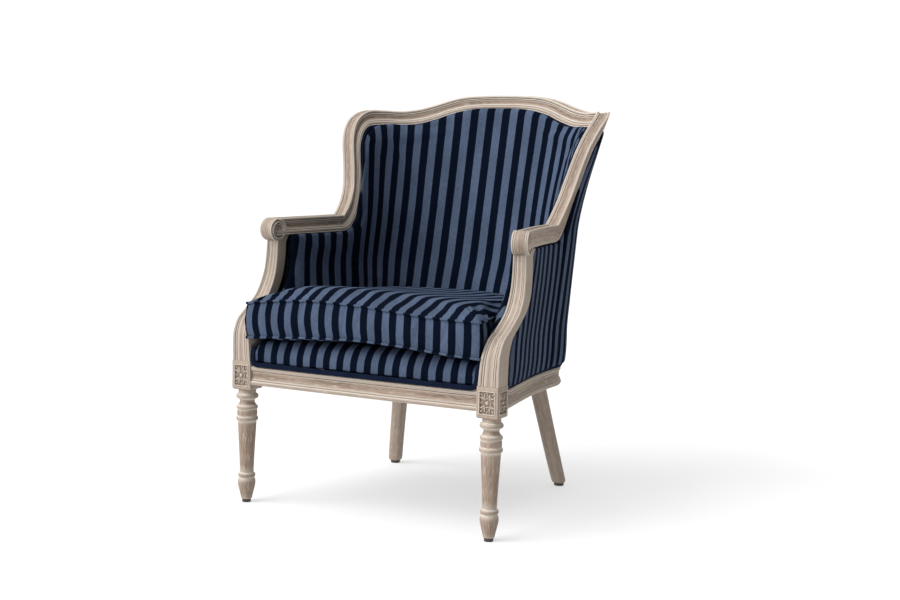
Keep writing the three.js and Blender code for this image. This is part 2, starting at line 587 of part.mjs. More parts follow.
const deck = shaped([16, 5, 3], (u, v, w) => {
  const plan = deckPlan(u, v);
  const z = THREE.MathUtils.lerp(padBottom, DECK_TOP, w ** DECK_LAYERS);
  const nose = Math.max(0, (z - DECK_TOP + DECK_NOSE) / DECK_NOSE);
  plan.y += (1 - v) * DECK_NOSE * (1 - Math.sqrt(1 - nose ** 2));
  return new THREE.Vector3(plan.x, plan.y, z);
});
add('seat_deck', deck, stripe);

// Loose cushion: boxed, crowned on top, lying on the deck.
const cushionBottom = DECK_TOP + GAP;
const cushionHalf = postInner(cushionBottom) - CUSHION_CLEARANCE;
const cushionFront = () => FRONT_FACE - CUSHION_PROUD;
const cushionPlan = fan(cushionFront, cushionHalf, cushionBottom, wellDepth - CUSHION_CLEARANCE);
const arch = (t) => Math.sin(Math.PI * t) ** CUSHION_FULLNESS;
const cushion = shaped([18, 8, 2], (u, v, w) => {
  const plan = cushionPlan(u, v);
  const thickness = CUSHION_THICKNESS + CUSHION_CROWN * arch(u) * arch(v);
  return new THREE.Vector3(plan.x, plan.y, cushionBottom + w * thickness);
});
add('seat_cushion', cushion, stripe);

// Welts: cords sewn round the covers where they meet the wood.
const insideWelt = (s, z) => tub(s, z, PAD_EDGE);
const outsideWelt = (s, z) => tub(s, z, 0);
function backWelt(onTub) {
  const half = [0.12, 0.25, 0.37, 0.5, 0.6].map((t) => {
    const z = backHeight(t);
    return [stileRearAt(z) - WELT_INSET, z];
  });
  const rounding = [[65, 78], [77, 61], [93, 50]];
  half.push(...rounding.map(([back, down]) => [STILE_FOOT - back, EAR_TOP - down]));
  for (let s = 370; s > 0; s -= 37) half.push([s, undersideAt(s) - WELT_INSET]);
  const right = half.map(([s, z]) => onTub(s, z));
  const left = half.map(([s, z]) => onTub(-s, z)).reverse();
  return cord([...right, ...left], WELT_RADIUS, 52);
}
function armWelt(onTub) {
  const scrollReach = reach(SCROLL_Y + SCROLL_RADIUS, armFrontUnderside);
  const from = STILE_FOOT + 2 * GAP;
  const to = Math.min(postReach(armFrontUnderside), scrollReach) - 2 * SOFT_GAP;
  const points = Array.from({ length: 9 }, (_, i) => {
    const s = THREE.MathUtils.lerp(from, to, i / 8);
    return onTub(s, armUndersideAt(s) - WELT_INSET);
  });
  return cord(points, WELT_RADIUS, 12);
}
add('inside_back_welt', backWelt(insideWelt), welting);
add('outside_back_welt', backWelt(outsideWelt), welting);
addPair('inside_arm_welt', armWelt(insideWelt), welting);
addPair('outside_arm_welt', armWelt(outsideWelt), welting);
const baseWeltZ = RAIL_TOP + WELT_INSET;
const baseReach = reach(blockRear + SOFT_GAP, baseWeltZ);
const basePoints = Array.from({ length: 33 }, (_, i) => {
  return outsideWelt(baseReach * (i / 16 - 1), baseWeltZ);
});
add('outside_base_welt', cord(basePoints, WELT_RADIUS, 48), welting);
const deckWeltHalf = blockInner - SOFT_GAP;
const deckWeltPoints = [-1, -0.5, 0, 0.5, 1].map((t) => {
  const x = t * deckWeltHalf;
  return new THREE.Vector3(x, frontRailFace(x) + WELT_RADIUS, baseWeltZ);
});
add('deck_front_welt', cord(deckWeltPoints, WELT_RADIUS, 10), welting);

// Dust cover: cambric stretched across the bottom of the seat frame, inside its rails.
const dustFront = () => frontRailRear + SOFT_GAP;
const dustPlan = fan(dustFront, blockInner - SOFT_GAP, RAIL_TOP, -RAIL_THICKNESS - SOFT_GAP);
const dustCover = shaped([16, 1, 1], (u, v, w) => {
  const plan = dustPlan(u, v);
  return new THREE.Vector3(plan.x, plan.y, RAIL_BOTTOM + DUST_COVER_SETBACK + w * DUST_COVER_THICKNESS);
});
add('dust_cover', dustCover, lining);

export default chair;
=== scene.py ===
"""Looks of an upholstered tub armchair: a limed oak show frame, striped covers and a loose seat cushion.

Metres, +Z up. The chair faces -Y, and x = 0 is its plane of symmetry. Curved pieces are drawn in places
on the tub, (s, z, n): s is the distance round the plan from the middle of the back, z the height, and n
the distance outwards from the outer face of the frame.
"""
from __future__ import annotations

import json
import logging
import math
from dataclasses import dataclass, field
from enum import Enum
from functools import cached_property
from typing import Sequence

import bmesh
import bpy
import numpy as np
from mathutils import Matrix, Vector

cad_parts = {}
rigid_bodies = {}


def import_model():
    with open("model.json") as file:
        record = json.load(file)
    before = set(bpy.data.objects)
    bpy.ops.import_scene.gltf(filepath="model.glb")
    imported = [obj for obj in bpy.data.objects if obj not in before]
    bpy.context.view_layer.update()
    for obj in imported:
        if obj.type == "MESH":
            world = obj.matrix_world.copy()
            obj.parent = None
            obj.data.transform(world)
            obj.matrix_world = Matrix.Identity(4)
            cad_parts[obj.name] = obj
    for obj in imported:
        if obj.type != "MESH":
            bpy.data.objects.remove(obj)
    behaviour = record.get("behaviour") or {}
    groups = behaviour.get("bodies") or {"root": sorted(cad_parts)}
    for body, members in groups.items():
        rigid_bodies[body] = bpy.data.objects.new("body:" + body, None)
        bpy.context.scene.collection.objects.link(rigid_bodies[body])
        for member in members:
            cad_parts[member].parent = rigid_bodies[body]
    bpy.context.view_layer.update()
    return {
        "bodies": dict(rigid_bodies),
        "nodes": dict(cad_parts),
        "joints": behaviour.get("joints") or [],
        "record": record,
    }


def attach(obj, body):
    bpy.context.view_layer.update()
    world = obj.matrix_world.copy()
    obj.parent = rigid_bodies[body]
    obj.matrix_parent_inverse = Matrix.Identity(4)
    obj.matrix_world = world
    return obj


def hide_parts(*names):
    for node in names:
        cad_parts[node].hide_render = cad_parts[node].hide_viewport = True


log = logging.getLogger("armchair")

MM = 0.001
GAP = 0.3 * MM  # between faces that rest on each other
MERGE = 1e-6  # vertices this close are one
Pair = tuple[float, float]
Triple = tuple[float, float, float]
Colour = Triple
GRAIN = "grain"  # UV map of the wood: across the grain, along the grain
WEAVE = "weave"  # UV map of the cloth: across the stripes, along the stripes
LIME_AND_PAINTED_LIGHT = "lime_and_painted_light"  # vertex attribute of the wood: how much liming wax has stayed there, with painted highlights on bead edges and painted shade where it is below nothing


class Body(Enum):
    """The bodies that pieces ride on."""

    FRAME = "frame"
    CUSHION = "cushion"


# ---- Curves ------------------------------------------------------------------------------------


def curve(points: Sequence[Pair], count: int) -> np.ndarray:
    """Points of the smooth centripetal curve through the given pairs.

    Args:
        points: the pairs that the curve passes through.
        count: how many points to return, spread evenly over the spans.

    Returns:
        An array of count rows of two.
    """
    given = np.array(points, float)
    ends = np.vstack([2 * given[0] - given[1], given, 2 * given[-1] - given[-2]])
    where = np.linspace(0, len(given) - 1, count)
    span = np.minimum(where.astype(int), len(given) - 2)
    t = (where - span)[:, None]
    a, b, c, d = (ends[span + k] for k in range(4))
    near, middle, far = (np.linalg.norm(q - p, axis=1)[:, None] ** 0.5 for p, q in ((a, b), (b, c), (c, d)))
    leave = ((b - a) / near - (c - a) / (near + middle) + (c - b) / middle) * middle
    arrive = ((c - b) / middle - (d - b) / (middle + far) + (d - c) / far) * middle
    square, cube = t**2, t**3
    start = (2 * cube - 3 * square + 1) * b + (cube - 2 * square + t) * leave
    return start + (3 * square - 2 * cube) * c + (cube - square) * arrive


def evenly(points: np.ndarray, spacing: float) -> np.ndarray:
    """The same polyline with its points a steady distance apart.

    Args:
        points: rows of coordinates.
        spacing: the distance wanted between points.

    Returns:
        Rows of coordinates along the polyline.
    """
    steps = np.linalg.norm(np.diff(points, axis=0), axis=1)
    reached = np.concatenate([[0], np.cumsum(steps)])
    wanted = np.linspace(0, reached[-1], max(2, int(reached[-1] / spacing)))
    return np.stack([np.interp(wanted, reached, column) for column in points.T], axis=1)


def crowded(count: int) -> np.ndarray:
    """Places from -1 to 1, closer together towards both ends."""
    return np.sin(np.pi * (np.linspace(0, 1, count) - 0.5))


def dome(columns: int, rows: int) -> np.ndarray:
    """A dome over a grid: 0 along its edges and 1 in its middle."""
    across, along = (np.sin(np.pi * np.linspace(0, 1, count)) for count in (columns, rows))
    return across[None] * along[:, None]


def eased(value: np.ndarray | float) -> np.ndarray | float:
    """A smooth rise from 0 to 1 as value goes from 0 to 1."""
    t = np.clip(value, 0, 1)
    return t * t * (3 - 2 * t)


# ---- The tub -----------------------------------------------------------------------------------


@dataclass
class Tub:
    """The curved surface that the outer face of the frame follows."""

    front_face: float = -0.370
    block: float = 0.051  # width and depth of the block on a front leg
    block_outer: float = 0.3445  # half of the width over both blocks
    rail_bottom: float = 0.284
    rail_top: float = 0.328
    rail_setback: float = 0.0035  # from the faces of the blocks
    front_tenon: float = 0.011  # how far the plan runs into a block
    half_width: float = 0.301  # at the seat
    corner: float = 0.032  # where a side turns into the back, at the seat
    rear: float = 0.225  # outer face of the back at the seat
    widening: float = 0.006  # of the half width from the seat to the arms
    flare: float = 0.080  # of the half width from the arms to the top
    flare_curve: float = 1.5  # its power: the wings lean out more and more
    corner_shift: Pair = (0.030, 0.050)  # how far the corners move back, below and above the arms
    fullness: Pair = (0.58, 0.63)  # of the corners, at the seat and from the arms up
    side_ease: float = 0.4  # share of a side over which it bends towards its end
    side_toe: float = 0.15  # slope of its end
    back_rake: float = 0.146  # how much further back the back is at its top
    arm_spread: float = 0.023  # how much further apart the sides end at the arms
    arm_top: float = 0.669
    arm_depth: float = 0.040
    crest_top: float = 0.981
    ear_top: float = 0.937
    step: float = 0.002  # spacing of the worked-out places

    @property
    def flare_start(self) -> float:
        """Height at which the wings begin to lean out."""
        return self.arm_top - self.arm_depth / 2

    @property
    def front(self) -> float:
        """Where the plan of the tub ends, inside the leg blocks."""
        return self.block_rear - self.front_tenon

    @property
    def block_rear(self) -> float:
        """Where the leg blocks end towards the rear."""
        return self.front_face + self.block

    @cached_property
    def heights(self) -> np.ndarray:
        """Heights at which the plan is worked out."""
        return np.arange(self.rail_bottom - 0.01, self.crest_top + 0.03, self.step)

    @cached_property
    def rounds(self) -> np.ndarray:
        """Distances round the plan at which it is worked out."""
        return np.arange(0, 0.80, self.step)

    @cached_property
    def places(self) -> np.ndarray:
        """Points (x, y) and outward normals (x, y) of the tub, by height and distance round it."""
        rows = []
        t = np.linspace(0, 1, 160)[:, None]
        bezier = np.hstack([(1 - t) ** 3, 3 * t * (1 - t) ** 2, 3 * t**2 * (1 - t), t**3])
        for z in self.heights:
            lower = min(max((z - self.rail_top) / (self.flare_start - self.rail_top), 0), 1)
            upper = max(0, z - self.flare_start) / (self.crest_top - self.flare_start)
            half = self.half_width + self.widening * lower + self.flare * upper**self.flare_curve
            corner = self.corner + self.corner_shift[0] * lower + self.corner_shift[1] * upper
            lean = max(0, (z - self.rail_top) / (self.crest_top - self.rail_top))
            rear = self.rear + self.back_rake * lean
            full = self.fullness[0] + (self.fullness[1] - self.fullness[0]) * lower
            front_x = self.block_outer - self.rail_setback + self.arm_spread * lower
            side = (corner - self.front) * self.side_ease
            back = [[0, rear], [full * half, rear], [half, corner + full * (rear - corner)], [half, corner]]
            arm = [[half, corner], [half, corner - side], [front_x - self.side_toe * side, self.front + side]]
            arm.append([front_x, self.front])
            plan = np.vstack([bezier @ np.array(back), (bezier @ np.array(arm))[1:]])
            reached = np.concatenate([[0], np.cumsum(np.linalg.norm(np.diff(plan, axis=0), axis=1))])
            x, y = (np.interp(self.rounds, reached, column) for column in plan.T)
            tangent_x, tangent_y = (np.interp(self.rounds, reached, np.gradient(c, reached)) for c in plan.T)
            length = np.hypot(tangent_x, tangent_y)
            rows.append(np.stack([x, y, -tangent_y / length, tangent_x / length], axis=1))
        return np.array(rows)

    def at(self, s: np.ndarray, z: np.ndarray, n: np.ndarray) -> np.ndarray:
        """Points of the tub.

        Args:
            s: distances round the plan from the middle of the back, negative on the left.
            z: heights.
            n: distances outwards.

        Returns:
            An array of points, in the shape of the inputs.
        """
        s, z, n = np.broadcast_arrays(*(np.asarray(value, float) for value in (s, z, n)))
        row = np.clip((z - self.heights[0]) / self.step, 0, len(self.heights) - 1.001)
        column = np.clip(np.abs(s) / self.step, 0, len(self.rounds) - 1.001)
        i, j = row.astype(int), column.astype(int)
        a, b = (row - i)[..., None], (column - j)[..., None]
        p = self.places
        below, above = (p[row, j] * (1 - b) + p[row, j + 1] * b for row in (i, i + 1))
        found = below * (1 - a) + above * a
        side = np.where(s < 0, -1.0, 1.0)
        x, y, out_x, out_y = np.moveaxis(found, -1, 0)
        return np.stack([side * (x + n * out_x), y + n * out_y, z], axis=-1)

    def reach(self, y: float, z: float, n: float = 0.0) -> float:
        """How far round the back the tub gets to the given y, at height z and depth n."""
        ys = self.at(self.rounds, z, n)[:, 1]
        return float(np.interp(-y, -ys, self.rounds))


TUB = Tub()


# ---- Meshes ------------------------------------------------------------------------------------


def piece_of(bm: bmesh.types.BMesh, name: str, finish: bpy.types.Material) -> bpy.types.Object:
    """An object with the mesh of bm, linked to the scene and dressed in the finish.

    Args:
        bm: the mesh, which is freed.
        name: the name of the object.
        finish: its material.

    Returns:
        The object.
    """
    mesh = bpy.data.meshes.new(name)
    bm.to_mesh(mesh)
    bm.free()
    mesh.materials.append(finish)
    piece = bpy.data.objects.new(name, mesh)
    bpy.context.scene.collection.objects.link(piece)
    return piece


def soft(bm: bmesh.types.BMesh) -> bmesh.types.BMesh:
    """The mesh, with all of its faces shaded smooth."""
    for face in bm.faces:
        face.smooth = True
    return bm


def crisp(bm: bmesh.types.BMesh, angle: float = 32) -> None:
    """Shades the mesh smooth, apart from edges that turn by more than angle degrees.

    Args:
        bm: the mesh.
        angle: degrees.
    """
    soft(bm)
    for edge in bm.edges:
        edge.smooth = edge.calc_face_angle(0.0) < math.radians(angle)


def absorb(bm: bmesh.types.BMesh, other: bmesh.types.BMesh) -> None:
    """Adds the other mesh to bm, and frees it.

    Args:
        bm: the mesh that grows.
        other: the mesh that it takes in.
    """
    spare = bpy.data.meshes.new("spare")
    other.to_mesh(spare)
    other.free()
    bm.from_mesh(spare)
    bpy.data.meshes.remove(spare)


def spun(profile: Sequence[Triple], axis: Triple, start: Triple, steps: int) -> bmesh.types.BMesh:
    """A turned shape about an axis through the origin.

    Args:
        profile: (along the axis, out from it, lime) from one end to the other, on the axis at both; the last
            is liming with painted highlight and shade.
        axis: the way along it.
        start: the way out from it that the profile is drawn in.
        steps: how many faces go round it.

    Returns:
        The closed mesh with its liming and painted light, and a grain map that is still empty.
    """
    bm = bmesh.new()
    bm.loops.layers.uv.new(GRAIN)
    wax = bm.verts.layers.float.new(LIME_AND_PAINTED_LIGHT)
    chain = []
    for along, out, lime_and_painted_light in profile:
        chain.append(bm.verts.new(Vector(axis) * along + Vector(start) * out))
        chain[-1][wax] = lime_and_painted_light
    edges = [bm.edges.new(pair) for pair in zip(chain, chain[1:])]
    bmesh.ops.spin(bm, geom=chain + edges, axis=axis, cent=(0, 0, 0), dvec=(0, 0, 0),
                   angle=2 * math.pi, steps=steps, use_merge=True)
    bmesh.ops.remove_doubles(bm, verts=bm.verts, dist=MERGE)
    bmesh.ops.recalc_face_normals(bm, faces=bm.faces)
    return bm


def carried(points: np.ndarray, uv: np.ndarray, layer: str, lime_and_painted_light: np.ndarray | None = None,
            closed: bool = True) -> bmesh.types.BMesh:
    """A flat grid carried to rows of points, joined into a tube and capped where it is closed.

    Args:
        points: (rows, columns, 3) places of the grid's vertices.
        uv: (rows, columns, 2) texture places, in metres.
        layer: the name of the UV map.
        lime_and_painted_light: (rows, columns) liming, painted highlight and painted shade of each vertex,
            where it is wood.
        closed: whether each row is a ring, whose last column repeats its first place.

    Returns:
        The mesh, its normals pointing outwards if it is closed.
    """
    rows, columns = points.shape[:2]
    bm = bmesh.new()
    bmesh.ops.create_grid(bm, x_segments=columns - 1, y_segments=rows - 1, size=0.5)
    texture = bm.loops.layers.uv.new(layer)
    wax = bm.verts.layers.float.new(LIME_AND_PAINTED_LIGHT) if lime_and_painted_light is not None else None
    spot = {}
    for vertex in bm.verts:
        i, j = round((vertex.co.y + 0.5) * (rows - 1)), round((vertex.co.x + 0.5) * (columns - 1))
        spot[vertex] = (i, j)
        vertex.co = points[i, j]
        if wax is not None:
            vertex[wax] = lime_and_painted_light[i, j]
    for face in bm.faces:
        for loop in face.loops:
            loop[texture].uv = uv[spot[loop.vert]]
    if closed:
        bmesh.ops.remove_doubles(bm, verts=bm.verts, dist=MERGE)
        bmesh.ops.holes_fill(bm, edges=[edge for edge in bm.edges if edge.is_boundary], sides=0)
        bmesh.ops.recalc_face_normals(bm, faces=bm.faces)
    return bm


def ring_lengths(rings: np.ndarray) -> tuple[np.ndarray, np.ndarray]:
    """Distances across and along rows of rings.

    Args:
        rings: (rows, columns, 3) points.

    Returns:
        The distance round each ring, and the distance along the rings' middles, in the rings' shape.
    """
    steps = np.linalg.norm(np.diff(rings, axis=1), axis=2)
    across = np.concatenate([np.zeros((len(rings), 1)), np.cumsum(steps, axis=1)], axis=1)
    middles = rings.mean(axis=1)
    travelled = np.concatenate([[0], np.cumsum(np.linalg.norm(np.diff(middles, axis=0), axis=1))])
    return across, np.repeat(travelled[:, None], rings.shape[1], axis=1)


def swept_wood(rings: np.ndarray, lime_and_painted_light: np.ndarray, name: str,
               finish: bpy.types.Material) -> bpy.types.Object:
    """A wooden piece through closed rings, its grain running from ring to ring.

    Args:
        rings: (rows, columns, 3) points; the first column is not repeated.
        lime_and_painted_light: liming, painted highlight and painted shade of each column.
        name: the piece's name.
        finish: its material.

    Returns:
        The piece.
    """
    closed = np.concatenate([rings, rings[:, :1]], axis=1)
    across, along = ring_lengths(closed)
    wax = np.tile(np.append(lime_and_painted_light, lime_and_painted_light[0]), (len(closed), 1))
    bm = carried(closed, np.stack([across, along], axis=-1), GRAIN, wax)
    crisp(bm)
    return piece_of(bm, name, finish)


def twin(piece: bpy.types.Object, name: str) -> bpy.types.Object:
    """The mirror image of a piece, as an object of its own.

    Args:
        piece: the piece, with its modifiers.
        name: the name of its twin.

    Returns:
        The twin, with the same modifiers.
    """
    bm = bmesh.new()
    bm.from_mesh(piece.data)
    bmesh.ops.scale(bm, vec=(-1, 1, 1), verts=bm.verts)
    bmesh.ops.reverse_faces(bm, faces=bm.faces)
    mirrored = piece_of(bm, name, piece.data.materials[0])
    for modifier in piece.modifiers:
        copy = mirrored.modifiers.new(modifier.name, modifier.type)
        for setting in ("levels", "render_levels", "thickness", "offset", "uv_smooth", "use_rim"):
            if hasattr(modifier, setting):
                setattr(copy, setting, getattr(modifier, setting))
    return mirrored


def settle(piece: bpy.types.Object, slot: str, *nodes: str, body: Body = Body.FRAME) -> bpy.types.Object:
    """Gives a finished piece its body, and hides the nodes that it stands for.

    Args:
        piece: the piece.
        slot: not used.
        nodes: the nodes whose place it takes.
        body: the body it rides on.

    Returns:
        The piece.
    """
    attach(piece, body.value)
    if nodes:
        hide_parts(*nodes)
    log.info("%s: %d faces", piece.name, len(piece.data.polygons))
    return piece


def settle_pair(piece: bpy.types.Object, slot: str, *nodes: str, fill: float | None = None) -> None:
    """Settles a right-hand piece and its mirror twin.

    Args:
        piece: the right-hand piece, whose name ends in _right.
        slot: not used.
        nodes: the nodes it stands for, without their sides.
        fill: not used.
    """
    other = twin(piece, piece.name.replace("_right", "_left"))
    for one, side in ((piece, "right"), (other, "left")):
        settle(one, slot, *(f"{node}_{side}" for node in nodes))


# ---- Finishes ----------------------------------------------------------------------------------


class Graph:
    """A material's node tree, with short calls for the nodes used here."""

    def __init__(self, name: str, roughness: float, **sockets: float) -> None:
        """Starts a material whose shader sockets hold the given constants.

        Args:
            name: its name.
            roughness: of its shader.
            sockets: other constants, by socket, with _ for a space.
        """
        self.material = bpy.data.materials.new(name)
        self.material.use_nodes = True
        self.tree = self.material.node_tree
        self.shader = self.tree.nodes["Principled BSDF"]
        self.shader.inputs["Roughness"].default_value = roughness
        for socket, value in sockets.items():
            self.shader.inputs[socket.replace("_", " ")].default_value = value

    def node(self, kind: str, inputs: dict[str | int, object], **settings: object) -> bpy.types.Node:
        """A node with its sockets linked or set.

        Args:
            kind: the node type, without its ShaderNode prefix.
            inputs: what each socket takes: a node's output, or a value.
            settings: the node's own properties.

        Returns:
            The node.
        """
        made = self.tree.nodes.new(f"ShaderNode{kind}")
        for key, value in settings.items():
            setattr(made, key, value)
        for key, value in inputs.items():
            if isinstance(value, bpy.types.NodeSocket):
                self.tree.links.new(value, made.inputs[key])
            else:
                made.inputs[key].default_value = value
        return made

    def uv(self, layer: str, scale: Triple) -> bpy.types.NodeSocket:
        """The piece's UV map, scaled."""
        source = self.node("UVMap", {}, uv_map=layer).outputs["UV"]
        return self.node("Mapping", {"Vector": source, "Scale": scale}).outputs["Vector"]

    def place(self, scale: Triple) -> bpy.types.NodeSocket:
        """Object coordinates, scaled."""
        source = self.node("TexCoord", {}).outputs["Object"]
        return self.node("Mapping", {"Vector": source, "Scale": scale}).outputs["Vector"]

    def noise(self, vector: bpy.types.NodeSocket, detail: float = 3,
              rough: float = 0.55) -> bpy.types.NodeSocket:
        """Noise of one cell a unit."""
        sockets = {"Vector": vector, "Scale": 1.0, "Detail": detail, "Roughness": rough}
        return self.node("TexNoise", sockets).outputs["Fac"]

    def maths(self, operation: str, *values: object) -> bpy.types.NodeSocket:
        """A math node on one to three values."""
        return self.node("Math", dict(enumerate(values)), operation=operation).outputs[0]

    def spread(self, value: bpy.types.NodeSocket, low: float, high: float,
               to: Pair = (0, 1)) -> bpy.types.NodeSocket:
        """The value, stretched smoothly from low..high to the given range and held there."""
        sockets = {"Value": value, "From Min": low, "From Max": high, "To Min": to[0], "To Max": to[1]}
        return self.node("MapRange", sockets, interpolation_type="SMOOTHSTEP").outputs["Result"]

    def mix(self, share: object, first: object, second: object, blend: str = "MIX") -> bpy.types.NodeSocket:
        """Two colours mixed by share.

        Args:
            share: a value or an output, 0 for the first and 1 for the second.
            first: a colour or an output.
            second: a colour or an output.
            blend: how they are mixed.

        Returns:
            The mixed colour.
        """
        colours = [(*value, 1.0) if isinstance(value, tuple) else value for value in (first, second)]
        sockets = {0: share, 6: colours[0], 7: colours[1]}
        return self.node("Mix", sockets, data_type="RGBA", blend_type=blend).outputs[2]

    def dress(self, colour: bpy.types.NodeSocket, height: bpy.types.NodeSocket, depth: float,
              strength: float = 0.5) -> bpy.types.Material:
        """Joins a colour and a bump height to the shader, and returns the material.

        Args:
            colour: the base colour.
            height: the height of the surface, 0 to 1.
            depth: how deep that is, in metres.
            strength: how strongly it shades.

        Returns:
            The material.
        """
        self.tree.links.new(colour, self.shader.inputs["Base Color"])
        bump = self.node("Bump", {"Height": height, "Distance": depth, "Strength": strength})
        self.tree.links.new(bump.outputs["Normal"], self.shader.inputs["Normal"])
        return self.material


@dataclass(frozen=True)
class LimedOak:
    """Oak rubbed with white wax, which stays in its pores and in the quirks of the carving; the liming
    attribute also paints highlights on bead edges and shade in grooves, coves and carved ground.
    """

    pale: Colour = (0.315, 0.235, 0.178)
    deep: Colour = (0.160, 0.108, 0.076)
    # the wax's white also paints highlights where the liming is high on bead edges
    wax: Colour = (0.70, 0.645, 0.57)
    stain_and_painted_shade: Colour = (0.070, 0.046, 0.032)  # dark stain in the quirks, and painted shade in grooves, coves and carved ground, where the liming is below nothing
    cloud: Colour = (0.30, 0.22, 0.17)
    pore: float = 0.0011  # width of a pore
    streak: float = 0.007  # width of a streak of growth
    stretch: float = 22.0  # how much longer than wide a pore is

    def material(self) -> bpy.types.Material:
        """The material, which reads the grain map and the liming."""
        graph = Graph("limed_oak", 0.62, Specular_IOR_Level=0.3)
        pores = graph.noise(graph.uv(GRAIN, (1 / self.pore, 1 / (self.pore * self.stretch), 1)), 2)
        streaks = graph.noise(graph.uv(GRAIN, (1 / self.streak, 1 / (self.streak * self.stretch), 1)), 4, 0.6)
        clouds = graph.noise(graph.place((14, 14, 14)), 3)
        wood = graph.mix(graph.spread(streaks, 0.32, 0.70), self.pale, self.deep)
        wood = graph.mix(graph.spread(clouds, 0.35, 0.75, (0, 0.45)), wood, self.cloud)
        limed = graph.node("Attribute", {}, attribute_name=LIME_AND_PAINTED_LIGHT).outputs["Fac"]
        # painted shade: liming below nothing darkens grooves, coves and the carved ground towards the dark
        # colour, partly a real stain in the quirks
        shaded = graph.maths("MULTIPLY", limed, -1.0)
        wood = graph.mix(graph.spread(shaded, 0.05, 1.0, (0, 0.85)), wood, self.stain_and_painted_shade)
        filled = graph.spread(pores, 0.50, 0.68, (0, 0.42))
        # high liming mixes in the wax's white: real liming in pores and quirks, and painted highlight along
        # bead edges
        broken = graph.maths("MULTIPLY", limed, graph.spread(streaks, 0.25, 0.62, (0.55, 1.0)))
        share = graph.maths("MAXIMUM", filled, broken)
        colour = graph.mix(share, wood, self.wax)
        return graph.dress(colour, pores, 0.0004, 0.35)


@dataclass(frozen=True)
class BareBeech:
    """Sawn beech of the hidden framing."""

    pale: Colour = (0.58, 0.42, 0.26)
    deep: Colour = (0.40, 0.26, 0.14)
    fleck: Colour = (0.24, 0.14, 0.07)

    def material(self) -> bpy.types.Material:
        """The material, on object coordinates with the grain upright."""
        graph = Graph("inner_beech", 0.75)
        fibres = graph.noise(graph.place((420, 420, 18)), 3)
        fleck = graph.noise(graph.place((900, 900, 160)), 2)
        colour = graph.mix(graph.spread(fibres, 0.3, 0.7), self.pale, self.deep)
        colour = graph.mix(graph.spread(fleck, 0.62, 0.72, (0, 0.5)), colour, self.fleck)
        return graph.dress(colour, fibres, 0.0003)


@dataclass(frozen=True)
class WovenStripe:
    """A woven cover of two even stripes."""

    light: Colour = (0.066, 0.090, 0.143)
    dark: Colour = (0.0022, 0.0045, 0.0115)
    repeat: float = 0.036  # width of a light and a dark stripe
    edge: float = 0.0007  # width of the change between them
    thread: float = 0.0008

    def material(self) -> bpy.types.Material:
        """The material, which reads the weave map."""
        graph = Graph("striped_fabric", 0.95, Specular_IOR_Level=0.02)
        place = graph.node("SeparateXYZ", {0: graph.uv(WEAVE, (1, 1, 1))})
        warp = graph.noise(graph.uv(WEAVE, (1 / self.thread, 1 / (self.thread * 14), 1)), 2)
        weft = graph.noise(graph.uv(WEAVE, (1 / (self.thread * 9), 1 / self.thread, 1)), 2)
        wander = graph.maths("MULTIPLY", graph.maths("SUBTRACT", weft, 0.5), self.edge)
        across = graph.maths("ADD", place.outputs["X"], wander)
        fold = graph.maths("PINGPONG", across, self.repeat / 2)
        quarter = self.repeat / 4
        stripe = graph.spread(fold, quarter - self.edge / 2, quarter + self.edge / 2)
        colour = graph.mix(stripe, self.light, self.dark)
        threads = graph.maths("ADD", graph.maths("MULTIPLY", warp, 0.6), graph.maths("MULTIPLY", weft, 0.4))
        shade = graph.spread(threads, 0.32, 0.68, (0.72, 1.3))
        faded = graph.noise(graph.uv(WEAVE, (16, 9, 1)), 3)
        shade = graph.maths("MULTIPLY", shade, graph.spread(faded, 0.3, 0.7, (0.88, 1.12)))
        worn = graph.node("CombineXYZ", {0: shade, 1: shade, 2: shade}).outputs[0]
        colour = graph.mix(1.0, colour, worn, "MULTIPLY")
        return graph.dress(colour, threads, 0.0005, 0.55)


@dataclass(frozen=True)
class PlainCloth:
    """A plain cloth of one colour, woven over and under."""

    name: str
    base: Colour
    lift: Colour
    thread: float = 0.0009

    def material(self) -> bpy.types.Material:
        """The material, on object coordinates."""
        graph = Graph(self.name, 0.95, Specular_IOR_Level=0.04)
        size = 1 / self.thread
        threads = graph.noise(graph.place((size, size, size / 3)), 2)
        tone = graph.noise(graph.place((30, 30, 30)), 3)
        tone = graph.spread(tone, 0.3, 0.7, (0.5, 1))
        share = graph.maths("MULTIPLY", graph.spread(threads, 0.35, 0.7), tone)
        return graph.dress(graph.mix(share, self.base, self.lift), threads, 0.0004, 0.6)


@dataclass(frozen=True)
class Nylon:
    """Dark moulded glides, scuffed pale where they rub."""

    base: Colour = (0.035, 0.03, 0.026)
    scuff: Colour = (0.30, 0.28, 0.26)

    def material(self) -> bpy.types.Material:
        """The material, on object coordinates."""
        graph = Graph("nylon_glide", 0.5)
        scratches = graph.noise(graph.place((500, 500, 180)), 3)
        colour = graph.mix(graph.spread(scratches, 0.55, 0.75, (0, 0.6)), self.base, self.scuff)
        return graph.dress(colour, scratches, 0.0002)


@dataclass
class Finishes:
    """Every material of the chair, made once."""

    oak: bpy.types.Material = field(default_factory=lambda: LimedOak().material())
    beech: bpy.types.Material = field(default_factory=lambda: BareBeech().material())
    stripe: bpy.types.Material = field(default_factory=lambda: WovenStripe().material())
    welt: bpy.types.Material = field(default_factory=lambda: PlainCloth(
        "navy_welt", (0.003, 0.006, 0.016), (0.010, 0.017, 0.040)).material())
    jute: bpy.types.Material = field(default_factory=lambda: PlainCloth(
        "jute_webbing", (0.30, 0.22, 0.12), (0.55, 0.44, 0.28), 0.002).material())
    cambric: bpy.types.Material = field(default_factory=lambda: PlainCloth(
        "black_cambric", (0.008, 0.008, 0.009), (0.03, 0.03, 0.032)).material())
    nylon: bpy.types.Material = field(default_factory=lambda: Nylon().material())


# ---- Outlines of the show frame ----------------------------------------------------------------


